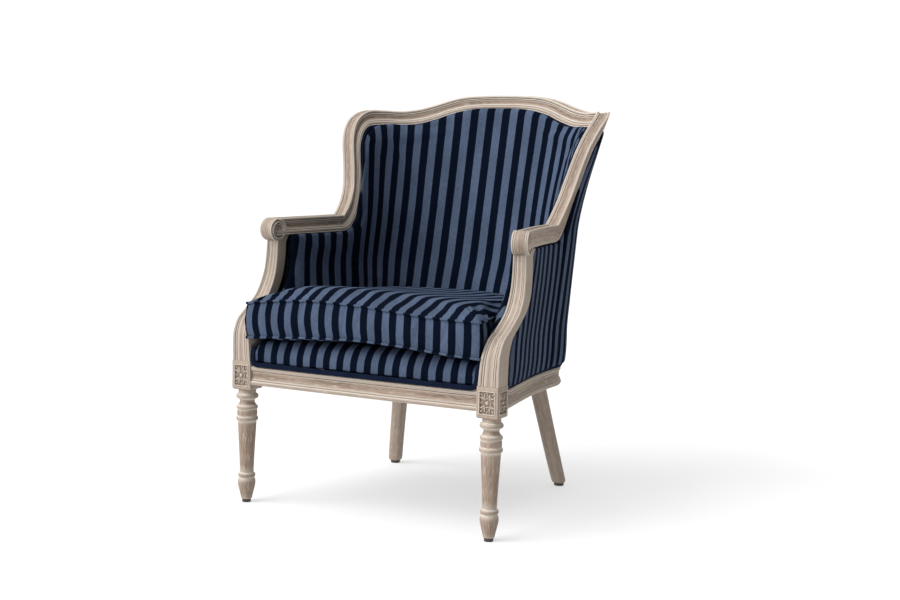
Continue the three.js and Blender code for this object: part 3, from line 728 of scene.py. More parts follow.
@dataclass
class Outlines:
    """The edges of the show frame on the tub, as pairs (s, z), and the swept line of the arm posts."""

    stile_foot: float = 0.499
    crest_joint: float = 0.350
    crest_depth: float = 0.035
    arm_fall: float = 0.003
    scroll_y: float = -0.229
    scroll_radius: float = 0.027
    arm_thickness: float = 0.037
    pad_seam: float = 0.457
    block_top: float = 0.339
    head_rise: float = 0.011  # of the post ahead of the scroll's axis
    post_depth: Pair = (0.049, 0.037)  # at its foot and its head
    post_sweep: tuple[Pair, ...] = (
        (0, 0), (0.125, 0), (0.23, 0.02), (0.3, 0.08), (0.345, 0.145), (0.436, 0.42), (0.554, 0.745),
        (0.7, 0.92), (0.84, 0.984), (1, 1),
    )

    @staticmethod
    def rise(share: float) -> float:
        """Height of a share of the way from the arm's top to the ear's."""
        return TUB.arm_top + (TUB.ear_top - TUB.arm_top) * share

    @staticmethod
    def crown(share: float) -> float:
        """Height of a share of the way from the ear's top to the crest's."""
        return TUB.ear_top + (TUB.crest_top - TUB.ear_top) * share

    @cached_property
    def stile_front(self) -> list[Pair]:
        """The outer edge of a stile, from the arm up and round the ear."""
        foot, ear = self.stile_foot, TUB.ear_top
        sweep = [(0, 0), (11, 0.052), (22, 0.123), (32, 0.246), (32, 0.358), (28, 0.519), (24, 0.675)]
        ear_round = [(29, 57), (42, 33), (66, 13), (101, 1)]
        return [*((foot - back * MM, self.rise(share)) for back, share in sweep),
                *((foot - back * MM, ear - down * MM) for back, down in ear_round),
                (self.crest_joint + GAP, ear)]

    @cached_property
    def stile_rear(self) -> list[Pair]:
        """The edge of a stile towards the covers."""
        foot, ear, under = self.stile_foot, TUB.ear_top, TUB.arm_top - TUB.arm_depth
        elbow = [(0, 0), (21, 6), (39, 25)]
        sweep = [(50, 0.049), (57, 0.19), (60, 0.358), (55, 0.519)]
        ear_round = [(54, 95), (61, 73), (72, 56), (90, 44)]
        return [*((foot - back * MM, under + up * MM) for back, up in elbow),
                *((foot - back * MM, self.rise(share)) for back, share in sweep),
                *((foot - back * MM, ear - down * MM) for back, down in ear_round),
                (self.crest_joint + GAP, ear - 37 * MM)]

    @cached_property
    def crest_upper(self) -> list[Pair]:
        """The top edge of the right half of the crest rail."""
        rises = [(0, 1), (60, 0.977), (122, 0.875), (162, 0.66), (201, 0.386), (240, 0.148), (290, -0.01)]
        return [*((s * MM, self.crown(share)) for s, share in rises), (self.crest_joint, self.crown(0))]

    @cached_property
    def crest_lower(self) -> list[Pair]:
        """The lower edge of the right half of the crest rail."""
        rises = [(0, 1), (60, 0.977), (100, 0.886), (150, 0.636), (191, 0.318), (245, 0.023), (290, -0.045)]
        lower = [(s * MM, self.crown(share) - self.crest_depth) for s, share in rises]
        return [*lower, (self.crest_joint, self.crown(-0.045) - self.crest_depth)]

    @cached_property
    def cover_edge(self) -> np.ndarray:
        """The wood's edge that the covers meet, from the middle of the crest round to the stile's foot."""
        crest = curve([(-s, z) for s, z in self.crest_lower[:0:-1]] + self.crest_lower, 301)[150:]
        stile = curve(self.stile_rear, 240)[::-1]
        return evenly(np.vstack([crest, stile[1:]]), 2 * MM)

    @cached_property
    def arm_front(self) -> float:
        """How far round the arm's top runs, to the middle of its scroll."""
        return TUB.reach(self.scroll_y, TUB.arm_top)

    def under_arm(self, s: np.ndarray | float) -> np.ndarray | float:
        """Height of the underside of the arm and of the stile's elbow at s.

        Args:
            s: distance round the tub.

        Returns:
            The height.
        """
        under = TUB.arm_top - TUB.arm_depth
        elbow = curve(self.stile_rear[:5], 80)[::-1]
        stations = np.append(elbow[:, 0], self.arm_front)
        return np.interp(s, stations, np.append(elbow[:, 1], under - self.arm_fall))

    def under_crest(self, s: np.ndarray | float) -> np.ndarray | float:
        """Height of the wood's edge over the inside back at s."""
        upper = self.cover_edge[: int(np.argmax(self.cover_edge[:, 0])) + 1]
        return np.interp(np.abs(s), upper[:, 0], upper[:, 1])

    def beside_stile(self, z: np.ndarray | float) -> np.ndarray | float:
        """How far round the stile's edge towards the covers is at height z.

        Args:
            z: the height.

        Returns:
            The distance s.
        """
        side = self.cover_edge[int(np.argmin(np.abs(self.cover_edge[:, 1] - (TUB.ear_top - 0.056)))):]
        inner = side[side[:, 0] < self.pad_seam - 2 * MM][::-1]
        heights = np.append(self.rise(-0.12), inner[:, 1])
        return np.interp(z, heights, np.append(self.pad_seam, inner[:, 0]))

    @property
    def post_top(self) -> float:
        """Height of the head of a post, under the scroll."""
        return TUB.arm_top - self.arm_fall - TUB.arm_depth - GAP

    def post_share(self, z: np.ndarray | float) -> np.ndarray | float:
        """Share of the post's height at z."""
        return np.clip((z - self.block_top) / (self.post_top - self.block_top), 0, 1)

    @cached_property
    def post_line(self) -> np.ndarray:
        """The smoothed sweep of the post: share of height, share of sweep."""
        return curve(self.post_sweep, 300)

    def post_front(self, z: np.ndarray | float) -> np.ndarray | float:
        """Place of the front of a post at height z."""
        sweep = np.interp(self.post_share(z), self.post_line[:, 0], self.post_line[:, 1])
        return TUB.front_face + (self.scroll_y - self.head_rise - TUB.front_face) * sweep

    def post_rear(self, z: np.ndarray | float) -> np.ndarray | float:
        """Place of the back of a post at height z."""
        sweep = np.interp(self.post_share(z), self.post_line[:, 0], self.post_line[:, 1])
        return self.post_front(z) + self.post_depth[0] + (self.post_depth[1] - self.post_depth[0]) * sweep

    def beside_post(self, z: float, n: float) -> float:
        """How far round the back of the post is at height z and depth n."""
        return TUB.reach(float(self.post_rear(z)), z, n)


LINES = Outlines()


# ---- The show frame ----------------------------------------------------------------------------

# Sections are drawn in millimetres as (across, out, lime): across the member or up the rail, out from
# its face, and how much liming wax the place keeps.
# Liming below nothing paints shade into grooves and coves, and high liming on bead edges is partly painted
# highlight.
Section = tuple[Triple, ...]


@dataclass
class ShowFrame:
    """Carved arms, stiles and crest: members between two edges on the tub, all of one moulding."""

    finishes: Finishes
    nominal_width: float = 35.0  # the width that the moulding is drawn at
    moulding: Section = (
        # the top face, from the outer side towards the sitter: bead, cove, bead; liming below nothing paints
        # shade into its grooves and cove, and high liming on the bead edges is partly painted highlight
        (1.6, 0.0, 0.2), (0.6, -0.4, 0.5), (0.0, -1.8, 0.6), (0.0, -4.6, 0.2), (0.5, -6.0, 0.9),
        (1.4, -6.6, 0.6), (3.4, -7.4, -0.9), (2.6, -8.4, 0.3), (3.0, -11.0, 0.0), (4.4, -16.0, -0.45),
        (3.0, -21.5, 0.0), (2.4, -24.0, 0.4), (3.4, -25.0, -0.9), (1.2, -25.8, 0.6), (0.4, -26.6, 0.9),
        (0.0, -28.0, 0.2), (0.0, -31.0, 0.2), (0.6, -32.6, 0.7),
        # the face towards the sitter: two beads, a wide cove, and a bead and fillet that stand proud; liming
        # below nothing paints shade into the grooves and cove, and high liming on the bead tops is partly
        # painted highlight
        (1.6, -33.6, 0.8), (3.0, -34.2, 0.2), (4.4, -33.8, 0.7), (5.2, -32.8, 0.5), (6.0, -30.4, -1.0),
        (6.9, -32.4, 0.6), (8.0, -33.2, 0.9), (9.0, -32.8, 0.5), (9.8, -30.2, -1.0), (10.8, -31.4, 0.8),
        (13.5, -30.2, 0.0), (17.0, -29.6, -0.5), (20.5, -31.0, 0.0), (23.2, -33.8, 0.7), (24.6, -35.4, 0.9),
        (25.5, -33.2, -1.0), (26.6, -37.0, 0.8), (28.2, -38.6, 0.2), (30.0, -39.0, 0.2), (31.2, -38.4, 0.8),
        (31.9, -35.8, -1.0), (32.7, -38.2, 0.9), (34.0, -39.2, 0.5), (35.0, -38.4, 0.4),
        # the edge towards the covers, and the plain outer face
        (35.0, -2.0, 0.2), (34.4, -0.5, 0.4), (33.0, 0.0, 0.3), (24.0, 0.0, 0.0), (12.0, 0.0, 0.0),
    )
    roll_proud: float = 0.001
    volute_turns: float = 1.35
    volute_reach: Pair = (24.2, 15.8)  # mm from the roll's axis, at its start and at its eye
    volute_bead: Pair = (3.0, 1.7)  # mm across the arm and outwards, half of the bead's size

    def member(self, outer: np.ndarray, inner: np.ndarray, name: str) -> bpy.types.Object:
        """A moulded member between two edges on the tub.

        Args:
            outer: (s, z) of the edge with the top face.
            inner: (s, z) of the edge towards the covers.
            name: the piece's name.

        Returns:
            The piece.
        """
        across, out, lime_and_painted_light = np.array(self.moulding).T
        share = across / self.nominal_width
        place = outer[:, None] + (inner - outer)[:, None] * share[None, :, None]
        rings = TUB.at(place[..., 0], place[..., 1], out[None] * MM)
        return swept_wood(rings, lime_and_painted_light, name, self.finishes.oak)

    def crest(self) -> None:
        """The serpentine crest rail."""
        edges = []
        for half in (LINES.crest_upper, LINES.crest_lower):
            edges.append(curve([(-s, z) for s, z in half[:0:-1]] + list(half), 220))
        settle(self.member(*edges, "carved_crest_rail"), "limed_oak", "crest_rail")

    def stiles(self) -> None:
        """The wings, from the arms up round the ears."""
        edges = [curve(edge, 190) for edge in (LINES.stile_front, LINES.stile_rear)]
        settle_pair(self.member(*edges, "carved_stile_right"), "limed_oak", "back_stile")

    def roll(self) -> bmesh.types.BMesh:
        """The scroll at the front of an arm, about its own axis along x, outer face towards +x."""
        radius, half = LINES.scroll_radius, LINES.arm_thickness / 2 + self.roll_proud
        profile = (  # (radius, inwards from the face, lime), from the middle of a face to its rim; liming below nothing paints shade into its grooves, and high liming on its beads is partly painted highlight
            (0.0, 1.6, 0.1), (6.0, 1.7, 0.0), (9.0, 2.6, 0.3), (10.2, 4.2, -0.9), (11.4, 2.0, 0.7),
            (12.8, 1.0, 0.3), (14.2, 1.8, 0.7), (15.2, 4.2, -0.9), (16.6, 4.0, 0.2), (21.2, 3.2, 0.1),
            (22.4, 2.6, -0.6), (23.4, 0.8, 0.8), (24.6, 0.1, 0.2), (25.8, 0.5, 0.3), (26.9, 1.8, 0.8),
            (27.0, 3.4, 0.3), (26.9, 4.2, 0.8), (25.2, 5.0, -1.0), (26.8, 5.8, 0.8), (27.0, 8.2, 0.2),
            (26.9, 8.8, 0.8), (25.2, 9.6, -1.0), (26.7, 10.4, 0.8), (27.0, 11.4, 0.1),
        )
        outline = [(half - inward * MM, r * MM, lime_and_painted_light) for r, inward, lime_and_painted_light in profile]
        outline += [(-x, r, lime_and_painted_light) for x, r, lime_and_painted_light in reversed(outline)]
        bm = spun(outline, (1, 0, 0), (0, 0, 1), 72)
        texture = bm.loops.layers.uv[GRAIN]
        for face in bm.faces:
            for loop in face.loops:
                co = loop.vert.co
                across = radius * math.atan2(co.y, co.z) if abs(face.normal.x) < 0.7 else co.y
                loop[texture].uv = (co.x, across)
        return bm

    def volute(self, bm: bmesh.types.BMesh) -> None:
        """Adds the raised spiral that the arm's bead runs into, on the sitter's side of the roll.

        Args:
            bm: the mesh of the roll.
        """
        half = LINES.arm_thickness / 2 + self.roll_proud
        turns = np.linspace(0, self.volute_turns * 2 * math.pi, 110)
        start, eye = self.volute_reach
        radius = (start - (start - eye) * turns / turns[-1]) * MM
        inside = np.full_like(turns, -half + 1.6 * MM)
        centre = np.stack([inside, radius * np.sin(turns), radius * np.cos(turns)], 1)
        angles = np.linspace(0, 2 * math.pi, 13)
        bead = np.stack([np.cos(angles), np.sin(angles)], 1) * self.volute_bead * MM
        outward = np.stack([np.zeros_like(turns), np.sin(turns), np.cos(turns)], 1)
        rings = centre[:, None] + bead[None, :, 1:] * outward[:, None]
        rings[..., 0] -= np.abs(bead[None, :, 0]) * np.sign(bead[None, :, 0])
        across, along = ring_lengths(rings)
        wax = np.tile(0.15 + 0.75 * (np.abs(np.sin(angles)) > 0.4), (len(turns), 1))
        absorb(bm, carried(rings, np.stack([across, along], -1), GRAIN, wax))

    def arms(self) -> None:
        """The level arms, each with its roll."""
        top = [(LINES.arm_front, TUB.arm_top - LINES.arm_fall), (0.600, TUB.arm_top - 1 * MM),
               (LINES.stile_foot + GAP, TUB.arm_top)]
        outer = curve(top, 60)
        inner = outer - np.array([0, TUB.arm_depth])
        arm = self.member(outer, inner, "carved_arm_right")
        bm = self.roll()
        self.volute(bm)
        z = TUB.arm_top - LINES.arm_fall - LINES.scroll_radius
        s = TUB.reach(LINES.scroll_y, z)
        middle = Vector(TUB.at(s, z, -LINES.arm_thickness / 2))
        outward = Vector(TUB.at(s, z, 0)) - middle
        turn = Matrix.Rotation(math.atan2(outward.y, outward.x), 4, "Z")
        bmesh.ops.transform(bm, matrix=Matrix.Translation(middle) @ turn, verts=bm.verts)
        bm.from_mesh(arm.data)
        crisp(bm)
        bm.to_mesh(arm.data)
        bm.free()
        settle_pair(arm, "limed_oak", "armrest")


@dataclass
class Posts:
    """The swept posts that carry the arms."""

    finishes: Finishes
    outer_line: tuple[Pair, ...] = ((0, 0), (0.345, 1.5), (0.56, 2.5), (0.77, -0.5), (1, -3.5))
    inner_line: tuple[Pair, ...] = ((0, -49.5), (0.21, -44.5), (0.39, -38.5), (0.56, -35.5), (1, -35.5))
    nominal_width: float = 40.0
    front: Section = (  # (across from the inner side, out from the face, lime): fillets beside a wide centre; liming below nothing paints shade into the grooves, and high liming on the fillet edges is partly painted highlight
        (0.0, -2.6, 0.3), (0.5, -0.9, 0.6), (1.8, 0.0, 0.5), (4.4, 0.0, 0.2), (5.4, -0.5, 0.9),
        (6.4, -3.2, -1.0), (7.4, -1.4, 0.8), (8.6, -0.9, 0.4), (9.8, -1.3, 0.7), (10.6, -2.8, -0.7),
        (11.8, -1.6, 0.6), (20.0, -0.6, 0.0), (28.2, -1.6, 0.6), (29.4, -2.8, -0.7), (30.2, -1.3, 0.7),
        (31.4, -0.9, 0.4), (32.6, -1.4, 0.8), (33.6, -3.2, -1.0), (34.6, -0.5, 0.9), (35.6, 0.0, 0.2),
        (38.2, 0.0, 0.5), (39.5, -0.9, 0.6), (40.0, -2.6, 0.3),
    )
    bracket: float = 0.013  # how far the head spreads back under the arm
    bracket_height: float = 0.024
    rear_chamfer: float = 0.0025
    plain_lime: float = 0.3  # liming of the plain rear of a post

    def build(self) -> None:
        """Both posts."""
        across, out, lime_and_painted_light = np.array(self.front).T
        sides = [curve(line, 100).T for line in (self.inner_line, self.outer_line)]
        step = 0.002
        bottom = LINES.block_top + GAP
        roll_z = TUB.arm_top - LINES.arm_fall - LINES.scroll_radius
        clear = LINES.scroll_radius - 1 * MM
        rings = []
        for w in np.linspace(0, 1, 90):
            z = bottom + (LINES.post_top - bottom) * w
            share = LINES.post_share(z)
            left, right = (TUB.block_outer + MM * np.interp(share, *side) for side in sides)
            slope = (LINES.post_front(z + step) - LINES.post_front(z - step)) / (2 * step)
            lean = math.hypot(1, slope)
            spread = self.bracket * max(0, (z - LINES.post_top) / self.bracket_height + 1) ** 2
            front, rear = LINES.post_front(z), LINES.post_rear(z) + spread
            x = left + (right - left) * across / self.nominal_width
            face = np.stack([x, front - out * MM * lean, np.full_like(x, z)], 1)
            cut = self.rear_chamfer
            back = [(right, rear - cut), (right - cut, rear), (left + cut, rear), (left, rear - cut)]
            rings.append(np.vstack([face, [(*corner, z) for corner in back]]))
        rings = np.array(rings)
        under = clear**2 - (rings[..., 1] - LINES.scroll_y) ** 2
        limit = np.where(under > 0, roll_z - np.sqrt(np.maximum(under, 0)), LINES.post_top)
        rings[..., 2] = bottom + (rings[..., 2] - bottom) * (limit[-1] - bottom) / (LINES.post_top - bottom)
        lime_and_painted_light = np.append(lime_and_painted_light, [self.plain_lime] * 4)
        post = swept_wood(rings, lime_and_painted_light, "carved_post_right", self.finishes.oak)
        settle_pair(post, "limed_oak", "arm_post")


@dataclass
class Rails:
    """The moulded seat rails."""

    finishes: Finishes
    bow: float = 0.003  # of the front rail, forwards in its middle
    thickness: float = 0.030
    rear_reach: float = 0.210  # half of the rear rail's length round the tub
    section: Section = (  # (up from the bottom, out from the face, lime); liming below nothing paints shade into the grooves and cove, and high liming on the bead edges is partly painted highlight
        (0.0, -30.0, 0.0), (0.0, -0.6, 0.3), (0.8, 0.8, 0.5), (3.0, 2.0, 0.2), (6.2, 2.2, 0.2),
        (8.6, 1.4, 0.6), (9.6, 0.2, 0.9), (10.4, -2.4, -0.9), (11.4, -0.4, 0.9), (12.6, -0.2, 0.4),
        (13.4, -1.6, 0.6), (16.0, -2.8, 0.0), (21.5, -3.4, -0.1), (28.0, -2.8, 0.0), (31.6, -1.8, 0.5),
        (32.6, -3.6, -0.8), (33.8, -1.0, 0.9), (36.0, 0.6, 0.3), (39.5, 0.8, 0.3), (41.2, 0.2, 0.8),
        (42.0, -1.4, -0.6), (42.6, -0.3, 0.7), (43.6, -0.4, 0.6), (44.0, -1.4, 0.5), (44.0, -30.0, 0.0),
    )

    @staticmethod
    def face(x: np.ndarray, half: float) -> np.ndarray:
        """Places of the bowed face of the front rail at x, out to half its length."""
        return TUB.front_face + TUB.rail_setback - Rails.bow * (1 - (x / half) ** 2)

    def build(self) -> None:
        """The front rail, and the three that follow the tub."""
        up, out, lime_and_painted_light = np.array(self.section).T
        oak = self.finishes.oak
        half = TUB.block_outer - TUB.block - GAP
        x = np.linspace(-half, half, 60)[:, None]
        z = TUB.rail_bottom + up * MM
        rings = np.stack(np.broadcast_arrays(x, self.face(x, half) - out * MM, z), axis=-1)
        settle(swept_wood(rings, lime_and_painted_light, "moulded_front_rail", oak), "limed_oak", "front_rail")
        for name, node, start, ends in (
            ("moulded_side_rail_right", "side_rail", self.rear_reach + 2 * GAP,
             [TUB.reach(TUB.block_rear + GAP, TUB.rail_top, n) for n in out * MM]),
            ("moulded_rear_rail", "rear_rail", -self.rear_reach, [self.rear_reach] * len(out)),
        ):
            t = np.linspace(0, 1, 110)[:, None]
            s = start + (np.array(ends) - start) * t
            piece = swept_wood(TUB.at(s, z[None], out[None] * MM), lime_and_painted_light, name, oak)
            if name.endswith("right"):
                settle_pair(piece, "limed_oak", node)
            else:
                settle(piece, "limed_oak", node)


@dataclass
class Legs:
    """Turned front legs with carved blocks, and plain raked rear legs."""

    finishes: Finishes
    block_bottom: float = 0.270
    glide_height: float = 0.008
    turning: Section = (  # (radius, height, lime), from the foot up
        (0.0, 8.3, 0.2), (11.6, 8.3, 0.4), (12.6, 9.4, 0.4), (13.6, 14.0, 0.1), (15.6, 23.0, 0.0),
        (18.0, 32.0, 0.0), (20.0, 41.0, 0.0), (20.7, 48.0, 0.1), (20.2, 53.5, 0.3), (18.6, 57.0, 0.6),
        (16.8, 58.6, 1.0), (17.4, 59.6, 0.9), (19.2, 60.8, 0.5), (20.0, 63.0, 0.1), (20.2, 65.6, 0.1),
        (19.4, 69.0, 0.4), (17.6, 70.4, 0.7), (16.4, 70.8, 1.0), (16.2, 72.6, 0.4), (16.6, 90.0, 0.0),
        (18.4, 130.0, 0.0), (20.4, 165.0, 0.0), (21.7, 188.0, 0.1), (21.8, 193.6, 0.6), (22.2, 195.0, 1.0),
        (24.4, 196.0, 0.5), (25.5, 198.4, 0.2), (25.5, 202.0, 0.2), (24.6, 204.6, 0.5), (22.6, 205.6, 1.0),
        (22.8, 207.0, 0.5), (23.4, 210.0, 0.1), (23.4, 218.0, 0.1), (22.9, 221.4, 0.5), (22.2, 222.2, 1.0),
        (24.0, 223.4, 0.6), (25.0, 226.0, 0.2), (24.8, 229.0, 0.3), (23.4, 231.2, 0.6), (21.6, 231.8, 0.9),
        (20.6, 233.6, 0.4), (18.2, 237.2, 0.1), (17.2, 240.6, 0.1), (17.6, 244.0, 0.3), (19.6, 246.6, 0.6),
        (22.2, 247.4, 0.8), (22.4, 248.2, 1.0), (24.8, 249.4, 0.5), (26.0, 252.4, 0.2), (25.8, 255.6, 0.3),
        (23.8, 258.6, 0.6), (20.8, 259.4, 1.0), (20.6, 261.0, 0.4), (20.6, 271.0, 0.1), (0.0, 271.0, 0.0),
    )
    mean_radius: float = 0.02  # of the turning, for its grain
    border: Pair = (0.0390, 0.0510)  # carved border on a block, wide and high
    border_width: float = 0.0016
    border_rise: float = 0.0016
    spread: float = 1.14 * MM  # of the carved flower
    ground: float = 0.0042  # depth of the carved ground below the border
    foot_chamfer: float = 0.0030  # round the bottom of a block
    arris: float = 0.0012  # rounding of its edges
    plain_lime: float = 0.22  # liming of a block's plain faces
    rear_foot: Triple = (0.240, 0.223, 0.032)  # x, y and width at the floor
    rear_head: Triple = (0.189, 0.165, 0.038)  # the same under the seat
    rear_square: float = 0.60  # power that squares the leg's round section
    rear_bend: float = 0.9  # power that bends it back
    rear_ease: Pair = (0.0015, 0.004)  # how much its foot is rounded off, in and up

    @property
    def middle(self) -> Vector:
        """The axis of the right front leg."""
        return Vector((TUB.block_outer - TUB.block / 2, TUB.front_face + TUB.block / 2, 0))

    def turned(self) -> bmesh.types.BMesh:
        """The turned part, about the z axis."""
        profile = [(height * MM, radius * MM, lime_and_painted_light) for radius, height, lime_and_painted_light in self.turning]
        bm = spun(profile, (0, 0, 1), (1, 0, 0), 64)
        texture = bm.loops.layers.uv[GRAIN]
        full_turn = 2 * math.pi
        for face in bm.faces:
            middle = face.calc_center_median()
            around = math.atan2(middle.y, middle.x)
            for loop in face.loops:
                co = loop.vert.co
                own = math.atan2(co.y, co.x) if co.xy.length > MERGE else around
                own += full_turn * round((around - own) / full_turn)
                loop[texture].uv = (own * self.mean_radius, co.z)
        return bm

    def rosette(self, bm: bmesh.types.BMesh, wax: bmesh.types.BMLayerItem, to: Matrix) -> None:
        """Adds a boss in a ring of petals, with a pair of leaves towards each corner, on the plane y = 0.

        Args:
            bm: the block's mesh.
            wax: its layer of liming, painted highlight and painted shade.
            to: where the flower goes.
        """
        shapes = [(0, 0, 4.3, 4.3, 4.4, 0)]  # (turn, away, long, wide, high, lean)
        for slope in (53, 127, 233, 307):
            shapes += [(slope + side * 15, 14.0, 6.6, 1.7, 3.0, side * 14) for side in (-1, 1)]
            shapes.append((slope, 20.0, 3.4, 1.8, 3.2, 0))
            shapes.append((slope, 13.6, 4.6, 1.1, 2.4, 0))
            shapes.append((slope, 8.4, 3.0, 1.5, 3.2, 90))
        for quarter in range(4):
            shapes.append((90 * quarter, 8.2, 1.4, 3.4, 3.2, 0))
            shapes.append((90 * quarter, 13.2 if quarter % 2 == 0 else 17.5, 2.6, 1.5, 2.2, 0))
        for turn, away, long, wide, high, lean in shapes:
            made = bmesh.ops.create_uvsphere(bm, u_segments=14, v_segments=8, radius=1.0)
            place = Matrix.Rotation(math.radians(-turn), 4, "Y")
            place @= Matrix.Translation((away * self.spread, 0, 0))
            local = Matrix.Rotation(math.radians(-lean), 4, "Y") @ Matrix.Diagonal(
                (long * self.spread, high * MM, wide * self.spread, 1))
            for vertex in made["verts"]:
                # liming rises on the petals' tops, partly painted highlight, and falls below nothing on their
                # backs, painted shade
                vertex[wax] = 0.75 * max(0, -vertex.co.y) - 0.15
            bmesh.ops.transform(bm, matrix=to @ place @ local, verts=made["verts"])

    def block(self) -> bmesh.types.BMesh:
        """The square block about the leg's axis, carved on its front and its outer side."""
        bm = bmesh.new()
        texture = bm.loops.layers.uv.new(GRAIN)
        wax = bm.verts.layers.float.new(LIME_AND_PAINTED_LIGHT)
        height = LINES.block_top - self.block_bottom
        centre = Vector((0, 0, self.block_bottom + height / 2))
        bmesh.ops.create_cube(bm, size=1.0, matrix=Matrix.Translation(centre) @ Matrix.Diagonal(
            (TUB.block, TUB.block, height, 1)))
        bottom = self.block_bottom + 1 * MM
        low = [edge for edge in bm.edges if max(vertex.co.z for vertex in edge.verts) < bottom]
        bmesh.ops.bevel(bm, geom=low, offset=self.foot_chamfer, affect="EDGES", segments=1, profile=0.5,
                        material=-1)
        bmesh.ops.bevel(bm, geom=list(bm.edges), offset=self.arris, affect="EDGES", segments=3, profile=0.5,
                        material=-1)
        wide, high = (size / 2 for size in self.border)
        for axis, offset in (("x", wide), ("y", wide), ("z", high)):
            normal = Vector([float(letter == axis) for letter in "xyz"])
            for side in (-1, 1):
                bmesh.ops.bisect_plane(bm, geom=bm.verts[:] + bm.edges[:] + bm.faces[:], dist=1e-7,
                                       plane_co=centre + normal * side * offset, plane_no=normal)
        for outward in (Vector((0, -1, 0)), Vector((1, 0, 0))):
            panel = max(bm.faces, key=lambda face: self.panel_score(face, outward, centre))
            # the raised border is whitened, partly as painted highlight, and the carved ground below nothing
            # is painted shade
            for thickness, depth, lime_and_painted_light in ((0.7 * MM, self.border_rise, 0.8), (self.border_width, 0, 0.8),
                                           (0.8 * MM, -self.ground, -0.35)):
                bmesh.ops.inset_individual(bm, faces=[panel], thickness=thickness, depth=depth)
                for vertex in panel.verts:
                    vertex[wax] = lime_and_painted_light
            face_centre = panel.calc_center_median()
            turn = Matrix.Identity(4) if outward.y else Matrix.Rotation(math.pi / 2, 4, "Z")
            self.rosette(bm, wax, Matrix.Translation(face_centre) @ turn)
        for face in bm.faces:
            flat = abs(face.normal.y) > abs(face.normal.x)
            for loop in face.loops:
                co = loop.vert.co
                loop[texture].uv = (co.x if flat else co.y, co.z)
                if loop.vert[wax] == 0:
                    loop.vert[wax] = self.plain_lime
        return bm

    @staticmethod
    def panel_score(face: bmesh.types.BMFace, outward: Vector, centre: Vector) -> float:
        """How well a face is the middle of the side of the block that looks outward."""
        away = (face.calc_center_median() - centre) - outward * TUB.block / 2
        return face.normal.dot(outward) - away.length * 100

    def rear(self) -> np.ndarray:
        """Rings of the right rear leg, slightly curved, with rounded corners."""
        bottom, top = self.glide_height + GAP, TUB.rail_bottom - GAP
        angles = np.linspace(0, 2 * math.pi, 33)[:-1]
        ring_x, ring_y = (np.sign(way) * np.abs(way) ** self.rear_square
                          for way in (np.cos(angles), np.sin(angles)))
        foot, head = np.array(self.rear_foot), np.array(self.rear_head)
        inward, upward = self.rear_ease
        rings = []
        for w in np.linspace(0, 1, 40):
            z = bottom + (top - bottom) * w
            t = z / TUB.rail_bottom
            x = foot[0] + (head[0] - foot[0]) * t
            y = foot[1] + (head[1] - foot[1]) * t**self.rear_bend
            half = (foot[2] + (head[2] - foot[2]) * t) / 2
            half -= inward * float(max(0, 1 - (z - bottom) / upward))
            rings.append(np.stack([x + ring_x * half, y + ring_y * half, np.full_like(ring_x, z)], 1))
        return np.array(rings)

    def build(self) -> None:
        """All four legs."""
        bm = self.turned()
        absorb(bm, self.block())
        bmesh.ops.translate(bm, vec=self.middle, verts=bm.verts)
        crisp(bm, 38)
        leg = piece_of(bm, "turned_leg_right", self.finishes.oak)
        settle_pair(leg, "limed_oak", "front_leg")
        rings = self.rear()
        settle_pair(swept_wood(rings, np.full(rings.shape[1], 0.15), "raked_leg_right", self.finishes.oak),
                    "limed_oak", "rear_leg")


# ---- Upholstery --------------------------------------------------------------------------------


@dataclass(frozen=True)
class Stuffing:
    """How a cover is blown up from its flat shape by a cloth simulation."""

    pressure: float
    frames: int
    cap: float  # the furthest that a point may move
    spare: float = 0.01  # spare cloth, as a share of its width
    stiffness: float = 14.0
    bending: float = 0.6

    def plump(self, piece: bpy.types.Object, pinned: Sequence[int]) -> None:
        """Simulates the cover with its seams held, and keeps the result.

        Args:
            piece: the cover, of one material, not yet thickened.
            pinned: indices of the vertices on its seams.
        """
        mesh = piece.data
        rest = np.empty(len(mesh.vertices) * 3)
        mesh.vertices.foreach_get("co", rest)
        group = piece.vertex_groups.new(name="seams")
        group.add([int(index) for index in pinned], 1.0, "REPLACE")
        cloth = piece.modifiers.new("cover", "CLOTH")
        settings = cloth.settings
        settings.quality = 5
        settings.mass = 0.25
        settings.tension_stiffness = self.stiffness
        settings.compression_stiffness = self.stiffness
        settings.shear_stiffness = self.stiffness / 3
        settings.bending_stiffness = self.bending
        settings.vertex_group_mass = group.name
        settings.use_pressure = True
        settings.uniform_pressure_force = self.pressure
        settings.shrink_min = -self.spare
        settings.effector_weights.gravity = 0
        cloth.point_cache.frame_end = self.frames
        scene = bpy.context.scene
        for frame in range(1, self.frames + 1):
            scene.frame_set(frame)
        made = piece.evaluated_get(bpy.context.evaluated_depsgraph_get()).to_mesh()
        moved = np.empty_like(rest)
        made.vertices.foreach_get("co", moved)
        shift = (moved - rest).reshape(-1, 3)
        far = np.linalg.norm(shift, axis=1)[:, None]
        shift *= self.cap * np.tanh(far / self.cap) / np.maximum(far, 1e-9)
        mesh.vertices.foreach_set("co", rest + shift.ravel())
        mesh.update()
        piece.modifiers.remove(cloth)
        piece.vertex_groups.clear()
        scene.frame_set(1)


def refine(piece: bpy.types.Object, thickness: float = 0.0) -> None:
    """Gives a cover its thickness, inwards, and one subdivision.

    Args:
        piece: the cover.
        thickness: how thick to make an open cover; a closed one is left as it is.
    """
    if thickness:
        solid = piece.modifiers.new("thickness", "SOLIDIFY")
        solid.thickness = thickness
        solid.offset = -1.0
        solid.use_rim = True
    smooth = piece.modifiers.new("smooth", "SUBSURF")
    smooth.levels = 1
    smooth.render_levels = 1
    smooth.uv_smooth = "PRESERVE_BOUNDARIES"


